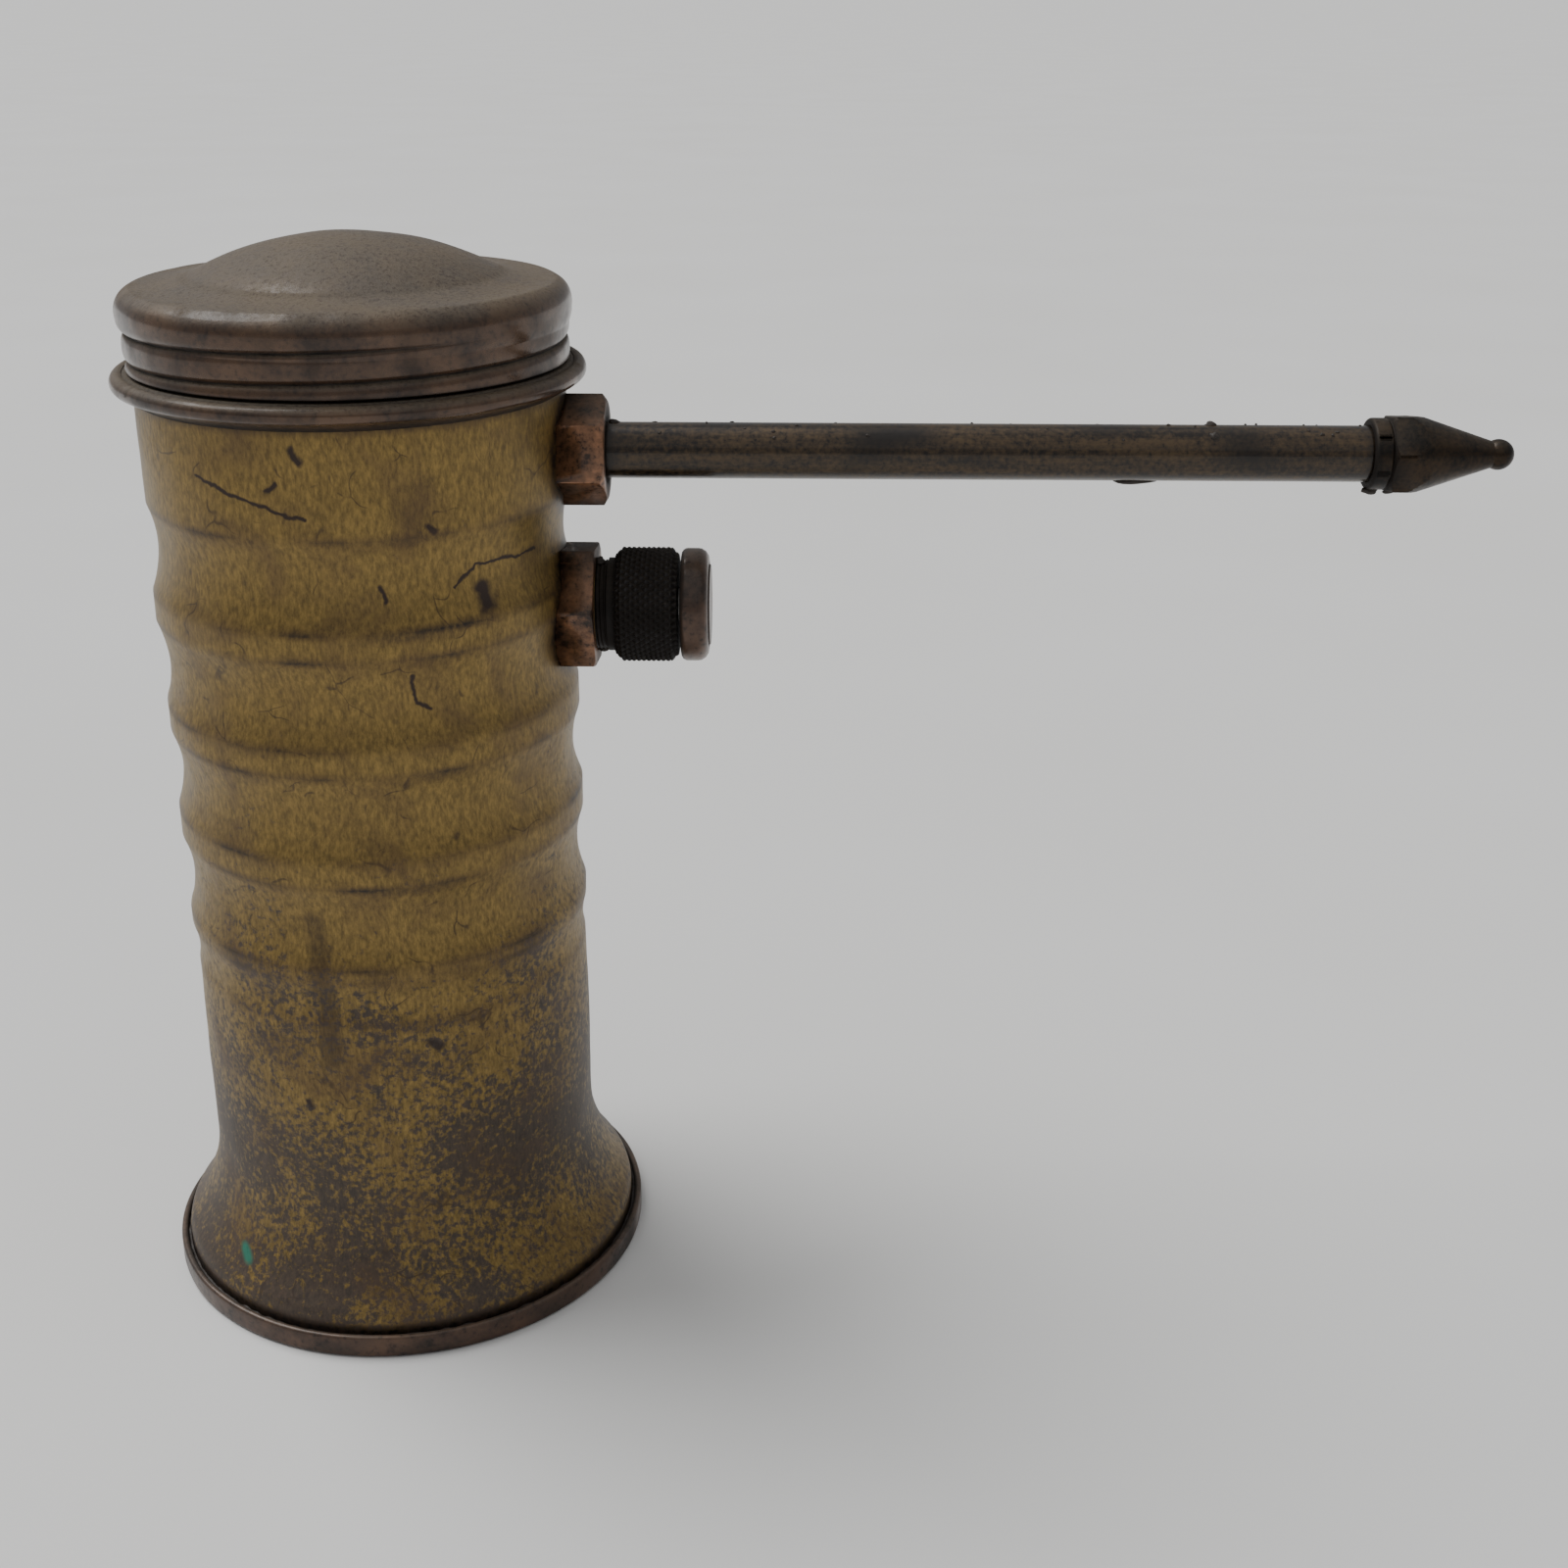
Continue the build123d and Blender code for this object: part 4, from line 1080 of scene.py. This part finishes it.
def nut_grime_and_shade(radius, angle, height):
    """Black round the bore, painted shade in the crevice against the wall, and darker flats that
    face up and down: soot on the upper ones and painted shade on the lower ones.
    """
    # Flats facing up and down: soot on the upper ones, painted shade on the lower ones.
    shaded = 0.75 * min(1.0, max(0.0, 2.4 * abs(math.cos(angle)) - 1.3))
    bore = line_of_grime_and_shade(max(0.0, radius - NUT_BORE_GREASE), 0.3)
    # Painted shade in the crevice where the nut's back meets the wall.
    wall = line_of_grime_and_shade(max(0.0, height - NUT_WALL_SHADE), 0.35)
    return shaded + bore + wall


for nut, flats, turn, height, node in (
    (spout_nut, SPOUT_NUT_FLATS, SPOUT_NUT_TURN, SPOUT_HEIGHT, "spout_nut"),
    (barrel_nut, BARREL_NUT_FLATS, BARREL_NUT_TURN, PUMP_HEIGHT, "barrel_nut"),
):
    cut_flats(nut, flats, 30 + turn)
    ease_edges(nut, NUT_EDGE)
    soil_and_shade(nut, nut_grime_and_shade)
    lay_along_x(nut, height)
    hollow_back(nut)
    nut.data.materials.append(aged_bar)
    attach(nut, "reservoir")
    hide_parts(node)

# ------------------------------------------------------------------------------------------------
# Spout tube: quarter-inch brass tube, drawn, cut square and soldered into its bush. It is dark
# with dried oil, brassy along the underside of its run, with crust stuck on it here and there.
# ------------------------------------------------------------------------------------------------
TUBE_BORE = 2.3
TUBE_END = 115.2
TUBE_JOINTS = (28.4, 114.9)


def oily_drawn_brass():
    """Drawn brass under a skin of dried oil: dark brown streaks along the tube, brassy between
    them, and glossy in long highlights."""
    material, tree, place = blank_material("oily drawn brass")
    along = add(tree, "Mapping", {"Vector": place, "Scale": (0.05, 0.7, 0.7)})
    streak = add(
        tree, "TexNoise", {"Vector": along, "Scale": 1.0, "Detail": 5.0, "Roughness": 0.65}
    )
    flecks = add(
        tree, "TexNoise", {"Vector": place, "Scale": 1 / 0.6, "Detail": 5.0, "Roughness": 0.65}
    )
    level = add(tree, "Math", {0: streak, 1: flecks}, operation="ADD")
    bare = add(tree, "MapRange", {"Value": level, "From Min": 0.85, "From Max": 1.2})
    colour = add(
        tree, "MixRGB", {"Fac": bare, "Color1": linear("1C1510"), "Color2": linear("4B3B26")}
    )
    crust = add(
        tree,
        "MapRange",
        {"Value": flecks, "From Min": 0.33, "From Max": 0.4, "To Min": 0.8, "To Max": 0.0},
    )
    colour = add(tree, "MixRGB", {"Fac": crust, "Color1": colour, "Color2": linear(GRIME_AND_SHADE)})
    dirt_and_shade = add(tree, "Attribute", attribute_name="soil_and_shade").outputs["Fac"]
    colour = add(tree, "MixRGB", {"Fac": dirt_and_shade, "Color1": colour, "Color2": linear(GRIME_AND_SHADE)})
    shine = add(
        tree,
        "MapRange",
        {"Value": level, "From Min": 0.8, "From Max": 1.2, "To Min": 0.3, "To Max": 0.5},
    )
    bump = add(tree, "Bump", {"Height": flecks, "Strength": 0.5, "Distance": 0.04 * MM})
    finish_material(
        tree,
        {
            "Base Color": colour,
            "Metallic": 0.5,
            "Roughness": shine,
            "Normal": bump,
            "Specular IOR Level": 0.3,
            "Coat Weight": 0.5,
            "Coat Roughness": 0.12,
        },
    )
    return material


tube_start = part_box("spout_tube")[0].x / MM
tube_outline = rounded(
    [
        (TUBE_BORE, tube_start),
        (SPOUT_RADIUS, tube_start),
        (SPOUT_RADIUS, TUBE_END),
        (TUBE_BORE, TUBE_END),
    ],
    (0, 0.1, 0.1, 0),
    spacing=0.8,
)
tube = turned("drawn_spout", tube_outline, sides=72)


def tube_grime(radius, angle, height):
    """Black at both joints and in a few bands along the run."""
    ends = line_of_grime_and_shade(height - TUBE_JOINTS[0], 0.5) + line_of_grime_and_shade(height - TUBE_JOINTS[1], 0.7)
    return ends + 0.9 * max(0.0, ripple(angle / 4, height, 9, 41) - 0.35)


soil_and_shade(tube, tube_grime)
lay_along_x(tube, SPOUT_HEIGHT)
tube.data.materials.append(oily_drawn_brass())
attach(tube, "reservoir")
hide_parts("spout_tube")

# ------------------------------------------------------------------------------------------------
# Nozzle: one brass turning with a round collar, six spanner flats, a long cone and a ball end,
# drilled with a fine jet. It was blackened, and it is rubbed brown on the flats' edges.
# ------------------------------------------------------------------------------------------------
NOZZLE_START = 114.8
COLLAR_RADIUS = 4.05
COLLAR_END = 116.8
NOZZLE_FLATS = 8.25
NOZZLE_TURN = 20.0
HEX_END = 119.1
CONE_END = 129.1
NOZZLE_NECK = 1.35
BALL_RADIUS = 1.75
NOZZLE_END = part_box("nozzle_tip")[1].x / MM
JET = 0.5


def blackened_brass(name, wear_tone):
    """Brass blackened in a chemical bath: nearly black with a satin shine, brown where rubbed."""
    return old_metal(
        name, wear_tone, "0B0908", patch=4, fleck=0.5, metallic=0.6,
        roughness=(0.3, 0.5), film=0.12, dust=0.2, pits=0.3, specular=0.25,
    )


nozzle_widest = NOZZLE_FLATS / math.sqrt(3)
ball_place = (0.0, NOZZLE_END - BALL_RADIUS)
ball_side = on_circle(ball_place, BALL_RADIUS, -38, 73, 16)
nozzle_outline = [(SPOUT_RADIUS + 0.03, NOZZLE_START)]
collar_corners = [(0, NOZZLE_START), (COLLAR_RADIUS, NOZZLE_START), (COLLAR_RADIUS, COLLAR_END)]
nozzle_outline += corner(*collar_corners, radius=0.35)
nozzle_outline += corner(nozzle_outline[-1], collar_corners[2], (0, COLLAR_END), radius=0.3)
nozzle_outline += [(COLLAR_RADIUS - 0.15, COLLAR_END), (COLLAR_RADIUS - 0.1, COLLAR_END + 0.08)]
nozzle_outline += [(nozzle_widest, COLLAR_END + 0.45)]
nozzle_outline += straight(nozzle_outline[-1], (nozzle_widest, HEX_END), 1.0)
nozzle_outline += straight(nozzle_outline[-1], (NOZZLE_NECK + 0.1, CONE_END), 0.5)
nozzle_outline += bowed(nozzle_outline[-1], ball_side[0], 0.05, 0.3) + ball_side[1:]
nozzle_outline += [(JET, NOZZLE_END - 0.4), (JET, CONE_END - 8), (TUBE_BORE, CONE_END - 10)]
nozzle_outline += [(TUBE_BORE, TUBE_END + 0.1), (SPOUT_RADIUS + 0.03, TUBE_END + 0.1)]
nozzle = turned("turned_nozzle", nozzle_outline + nozzle_outline[:1], sides=96)
cut_flats(nozzle, NOZZLE_FLATS, 30 + NOZZLE_TURN)
ease_edges(nozzle, 0.1)


def nozzle_grime(radius, angle, height):
    """Grease in the groove behind the flats and at the joint."""
    groove = line_of_grime_and_shade(height - COLLAR_END - 0.1, 0.3)
    return groove + line_of_grime_and_shade(height - NOZZLE_START, 0.3)


soil_and_shade(nozzle, nozzle_grime)
lay_along_x(nozzle, SPOUT_HEIGHT)
nozzle.data.materials.append(blackened_brass("blackened turned brass", "332618"))
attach(nozzle, "reservoir")
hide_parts("nozzle_tip")

# ------------------------------------------------------------------------------------------------
# Dried grease: a drip under the tube, crusts on it and under the nozzle, and crumbs stuck along
# its top. They set there over the years and are hard and black.
# ------------------------------------------------------------------------------------------------
CRUMBS = 26
CRUMB_RUN = (29, 114)
CRUMB_SLANT = (-0.9, 0.5)
CRUMB_LENGTH = (0.12, 0.3)
CRUMB_SIZE = (0.1, 0.18)
TUBE_UNDERSIDE = SPOUT_HEIGHT - SPOUT_RADIUS
TUBE_TOP = SPOUT_HEIGHT + SPOUT_RADIUS
NOZZLE_UNDERSIDE = SPOUT_HEIGHT - COLLAR_RADIUS


def crumb(place, length, size, seed):
    """A lump of dried grease at that place, drawn out along X: length and size are half its
    length and half its thickness, in millimetres."""
    bpy.ops.mesh.primitive_ico_sphere_add(subdivisions=3, radius=size * MM)
    lump = bpy.context.object
    for vertex in lump.data.vertices:
        vertex.co *= 1 + 0.5 * noise.noise(vertex.co / MM / size + Vector((seed, 0, 0)))
        vertex.co.x *= length / size
    bpy.ops.object.shade_smooth()
    lump.location = Vector(place) * MM
    return lump


put_down_tools()
random.seed(5)
lumps = [
    crumb((88.6, -0.4, TUBE_UNDERSIDE), 2.5, 0.38, 1),
    crumb((96.8, 0.3, TUBE_TOP), 0.7, 0.42, 2),
    crumb((96.9, -1.9, SPOUT_HEIGHT + 2.3), 0.5, 0.5, 3),
    crumb((115.4, -0.6, NOZZLE_UNDERSIDE), 0.9, 0.45, 4),
    crumb((117.6, -0.2, NOZZLE_UNDERSIDE - 0.2), 0.6, 0.3, 5),
    crumb((29.3, 0.0, TUBE_TOP), 0.6, 0.35, 6),
    crumb((27.2, -0.6, PUMP_HEIGHT + BARREL_RADIUS + 0.5), 0.7, 0.5, 7),
    crumb((27.3, -0.2, PUMP_HEIGHT - BARREL_RADIUS - 0.4), 0.6, 0.4, 8),
]
for number in range(CRUMBS):
    slant = random.uniform(*CRUMB_SLANT)
    along_tube = random.uniform(*CRUMB_RUN)
    aside, above = SPOUT_RADIUS * math.sin(slant), SPOUT_RADIUS * math.cos(slant)
    length, size = random.uniform(*CRUMB_LENGTH), random.uniform(*CRUMB_SIZE)
    lumps.append(crumb((along_tube, aside, SPOUT_HEIGHT + above), length, size, number))
put_down_tools()
for lump in lumps:
    lump.select_set(True)
bpy.context.view_layer.objects.active = lumps[0]
bpy.ops.object.transform_apply(location=True, rotation=True, scale=True)
bpy.ops.object.join()
crust = bpy.context.object
crust.name = "dried_grease"
crust.data.materials.append(grime)
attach(crust, "reservoir")

# ------------------------------------------------------------------------------------------------
# Gland nut and barrel thread: a round nut, diamond-knurled by a pair of rollers so that it can be
# nipped up by hand, blackened and greasy. A little of the barrel's own thread shows behind it.
# ------------------------------------------------------------------------------------------------
GLAND_START = 28.2
GLAND_BOSS_END = 29.0
GLAND_BOSS = 5.45
GLAND_RADIUS = 6.7
GLAND_END = 36.3
GLAND_CHAMFER = 0.8
GLAND_BORE_END = 34.14
ROD_RADIUS = 1.9
RUNNING_GAP = 0.06
KNURLS_AROUND = 44
KNURL_PITCH = 1.15
KNURL_DEPTH = 0.36
KNURL_FLAT = 0.85            # above this share of the depth, the diamonds' tips are flat
BARREL_THREAD_PITCH = 0.45
BARREL_THREAD_DEPTH = 0.2
BARREL_THREAD_SKIN = (0.01, 0.28)
GREASED = 0.8

gland_body = GLAND_BOSS_END + GLAND_CHAMFER
thread_bore = BARREL_RADIUS + RUNNING_GAP
rod_bore = ROD_RADIUS + RUNNING_GAP
gland_outline = [(thread_bore, GLAND_START), (GLAND_BOSS, GLAND_START)]
gland_outline += [(GLAND_BOSS, GLAND_BOSS_END), (GLAND_RADIUS - GLAND_CHAMFER, GLAND_BOSS_END)]
gland_outline += straight(gland_outline[-1], (GLAND_RADIUS, gland_body), 0.12)
gland_outline += straight(gland_outline[-1], (GLAND_RADIUS, GLAND_END - GLAND_CHAMFER), 0.11)
gland_outline += straight(gland_outline[-1], (GLAND_RADIUS - GLAND_CHAMFER, GLAND_END), 0.12)
gland_outline += [(rod_bore, GLAND_END), (rod_bore, GLAND_BORE_END)]
gland_outline += [(thread_bore, GLAND_BORE_END), (thread_bore, GLAND_START)]
gland = turned("knurled_gland", gland_outline, sides=8 * KNURLS_AROUND)


def ridge(turns):
    """A sharp ridge once a turn: 0 in its groove and 1 on its crest."""
    return abs(2 * (turns - round(turns)))


def knurl_crest(angle, height):
    """Where a point lies between the knurl's crossed grooves, 0, and its diamonds' tips, 1."""
    around = KNURLS_AROUND * angle / math.tau
    along = height / KNURL_PITCH
    return min(ridge(around + along), ridge(around - along))


def gland_radius(radius, angle, height):
    """The knurled outside; the boss and the bores stay plain."""
    if radius < GLAND_RADIUS - GLAND_CHAMFER + 0.05:
        return radius
    return radius - KNURL_DEPTH * (1 - min(1.0, knurl_crest(angle, height) / KNURL_FLAT))


def gland_grime(radius, angle, height):
    """Grease in the knurl's grooves and along the boss."""
    if radius < GLAND_RADIUS - 0.6:
        return GREASED
    return 1.1 - 1.3 * knurl_crest(angle, height)


soil_and_shade(gland, gland_grime)
reshape(gland, gland_radius)
lay_along_x(gland, PUMP_HEIGHT)
knurled_black = blackened_brass("blackened knurled brass", "2A282A")
gland.data.materials.append(knurled_black)
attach(gland, "gland")
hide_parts("gland_nut")

thread_start, thread_end = BARREL_NUT[1] + 0.02, GLAND_START - 0.04
thread_root, thread_crest = [BARREL_RADIUS + skin for skin in BARREL_THREAD_SKIN]
barrel_thread = turned(
    "barrel_thread",
    rounded(
        [
            (thread_root, thread_start),
            (thread_crest, thread_start),
            (thread_crest, thread_end),
            (thread_root, thread_end),
        ],
        (0, 0, 0, 0),
        spacing=0.06,
    ),
    sides=96,
)


def thread_radius(radius, angle, height):
    """A fine screw thread."""
    if radius < BARREL_RADIUS + 0.2:
        return radius
    turns = height / BARREL_THREAD_PITCH - angle / math.tau
    return radius - BARREL_THREAD_DEPTH * (1 - ridge(turns))


def thread_grime(radius, angle, height):
    """The same old grease all over the thread."""
    return GREASED


reshape(barrel_thread, thread_radius)
soil_and_shade(barrel_thread, thread_grime)
lay_along_x(barrel_thread, PUMP_HEIGHT)
barrel_thread.data.materials.append(knurled_black)
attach(barrel_thread, "reservoir")

# ------------------------------------------------------------------------------------------------
# Plunger: a copper button with rounded edges, riveted over the end of a ground steel rod. The
# rivet's thin disc stands on the button's face. The thumb has worn the button to a red gloss.
# ------------------------------------------------------------------------------------------------
BUTTON_START = 36.65
BUTTON_END = 39.85
BUTTON_RADIUS = 6.6
BUTTON_SOCKET_END = 38.25
DISC_RADIUS = 4.7
DISC_END = 40.05
RIVET_GAP = 0.02
DISC_SINK = 0.12

button_outline = rounded(
    [
        (ROD_RADIUS + RIVET_GAP, BUTTON_SOCKET_END),
        (ROD_RADIUS + RIVET_GAP, BUTTON_START),
        (BUTTON_RADIUS, BUTTON_START),
        (BUTTON_RADIUS, BUTTON_END),
        (DISC_RADIUS + 0.25, BUTTON_END),
        (DISC_RADIUS + DISC_SINK, BUTTON_END - DISC_SINK),
        (DISC_RADIUS, BUTTON_END - DISC_SINK),
        (DISC_RADIUS, DISC_END),
        (0.0, DISC_END),
        (0.0, BUTTON_SOCKET_END),
    ],
    (0, 0, 0.7, 1.25, 0, 0, 0, 0.08, 0, 0),
    spacing=0.5,
)
button = turned("thumb_button", button_outline, sides=128)


def button_grime(radius, angle, height):
    """Black round the disc and on the button's back edge."""
    ring = line_of_grime_and_shade(radius - DISC_RADIUS - 0.1, 0.12) * (height > BUTTON_START + 2)
    return ring + line_of_grime_and_shade(height - BUTTON_START, 0.3)


soil_and_shade(button, button_grime)
lay_along_x(button, PUMP_HEIGHT)
button.data.materials.append(aged_copper)
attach(button, "plunger")
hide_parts("plunger_button")

# ------------------------------------------------------------------------------------------------
# Inner pieces: the pump, its valves, pipes, packings and springs. Most are turned from brass bar,
# with steel springs, balls and rod, cups and washers of leather, a cork gasket and cord packing.
# ------------------------------------------------------------------------------------------------
def turned_brass():
    """Brass bar turned on the lathe and kept in oil: tool rings, drawn coarser than they are so
    that they show, warm tarnish in clouds and a wet gloss."""
    material, tree, place = blank_material("oily turned brass")
    cloud = add(tree, "TexNoise", {"Vector": place, "Scale": 1 / 4, "Detail": 4.0})
    tool_rings = add(tree, "Mapping", {"Vector": place, "Scale": (3.0, 0.3, 0.3)})
    rings = add(tree, "TexNoise", {"Vector": tool_rings, "Scale": 1.0, "Detail": 3.0})
    bright = add(
        tree, "MixRGB", {"Fac": rings, "Color1": linear("A88A4C"), "Color2": linear("C9AC6A")}
    )
    tarnish = add(
        tree,
        "MapRange",
        {"Value": cloud, "From Min": 0.42, "From Max": 0.66, "To Min": 0.0, "To Max": 0.7},
    )
    colour = add(tree, "MixRGB", {"Fac": tarnish, "Color1": bright, "Color2": linear("6B4F2C")})
    rough = add(tree, "MapRange", {"Value": cloud, "To Min": 0.22, "To Max": 0.5})
    bump = add(tree, "Bump", {"Height": rings, "Strength": 0.3, "Distance": 0.01 * MM})
    finish_material(
        tree,
        {
            "Base Color": colour,
            "Metallic": 1.0,
            "Roughness": rough,
            "Normal": bump,
            "Coat Weight": 0.3,
            "Coat Roughness": 0.1,
        },
    )
    return material


def bright_steel(name, tone, shadow, grain, roughness):
    """Steel with a fine grain along it and a thin brown bloom of rust where oil has run dry."""
    material, tree, place = blank_material(name)
    along = add(tree, "Mapping", {"Vector": place, "Scale": grain})
    lines = add(tree, "TexNoise", {"Vector": along, "Scale": 1.0, "Detail": 3.0})
    colour = add(tree, "MixRGB", {"Fac": lines, "Color1": linear(shadow), "Color2": linear(tone)})
    bloom = add(tree, "TexNoise", {"Vector": place, "Scale": 1 / 2.5, "Detail": 5.0})
    rust = add(
        tree,
        "MapRange",
        {"Value": bloom, "From Min": 0.6, "From Max": 0.75, "To Min": 0.0, "To Max": 0.5},
    )
    colour = add(tree, "MixRGB", {"Fac": rust, "Color1": colour, "Color2": linear("5A3B27")})
    rough = add(tree, "MapRange", {"Value": lines, "To Min": roughness, "To Max": roughness + 0.15})
    bump = add(tree, "Bump", {"Height": lines, "Strength": 0.25, "Distance": 0.01 * MM})
    finish_material(
        tree, {"Base Color": colour, "Metallic": 1.0, "Roughness": rough, "Normal": bump}
    )
    return material


def soft_packing(name, light, dark, grain, gloss, depth):
    """A soft packing soaked in oil: grain of its own size, darker in its hollows."""
    material, tree, place = blank_material(name)
    fibres = add(
        tree, "TexNoise", {"Vector": place, "Scale": 1 / grain, "Detail": 5.0, "Roughness": 0.65}
    )
    cells = add(tree, "TexVoronoi", {"Vector": place, "Scale": 1 / grain})
    level = add(tree, "Math", {0: fibres, 1: cells}, operation="MULTIPLY")
    colour = add(tree, "MixRGB", {"Fac": level, "Color1": linear(dark), "Color2": linear(light)})
    rough = add(tree, "MapRange", {"Value": fibres, "To Min": gloss, "To Max": gloss + 0.25})
    bump = add(tree, "Bump", {"Height": level, "Strength": 0.6, "Distance": depth * MM})
    finish_material(tree, {"Base Color": colour, "Roughness": rough, "Normal": bump})
    return material


inner_finishes = {
    "turned_brass": turned_brass(),
    "ground_steel": bright_steel("ground steel rod", "B9B6B0", "8F8C87", (0.3, 4.0, 4.0), 0.22),
    "spring_steel": bright_steel("drawn spring steel", "8E8B86", "5E5B57", (2.0, 2.0, 2.0), 0.35),
    "ball_steel": bright_steel("lapped ball steel", "CFCFCD", "B4B4B2", (1.0, 1.0, 1.0), 0.1),
    "oiled_leather": soft_packing("oiled leather", "6A4526", "2E1C10", 0.7, 0.4, 0.12),
    "cork": soft_packing("cut cork", "A98558", "4A321C", 1.1, 0.7, 0.2),
    "greased_cord": soft_packing("greased cotton cord", "8A7C5C", "3A3325", 0.5, 0.45, 0.2),
}
for subpart in frame["record"]["subparts"]:
    finish = inner_finishes.get(subpart["material_slot"])
    if finish:
        for slot in bpy.data.objects[subpart["node"]].material_slots:
            slot.material = finish
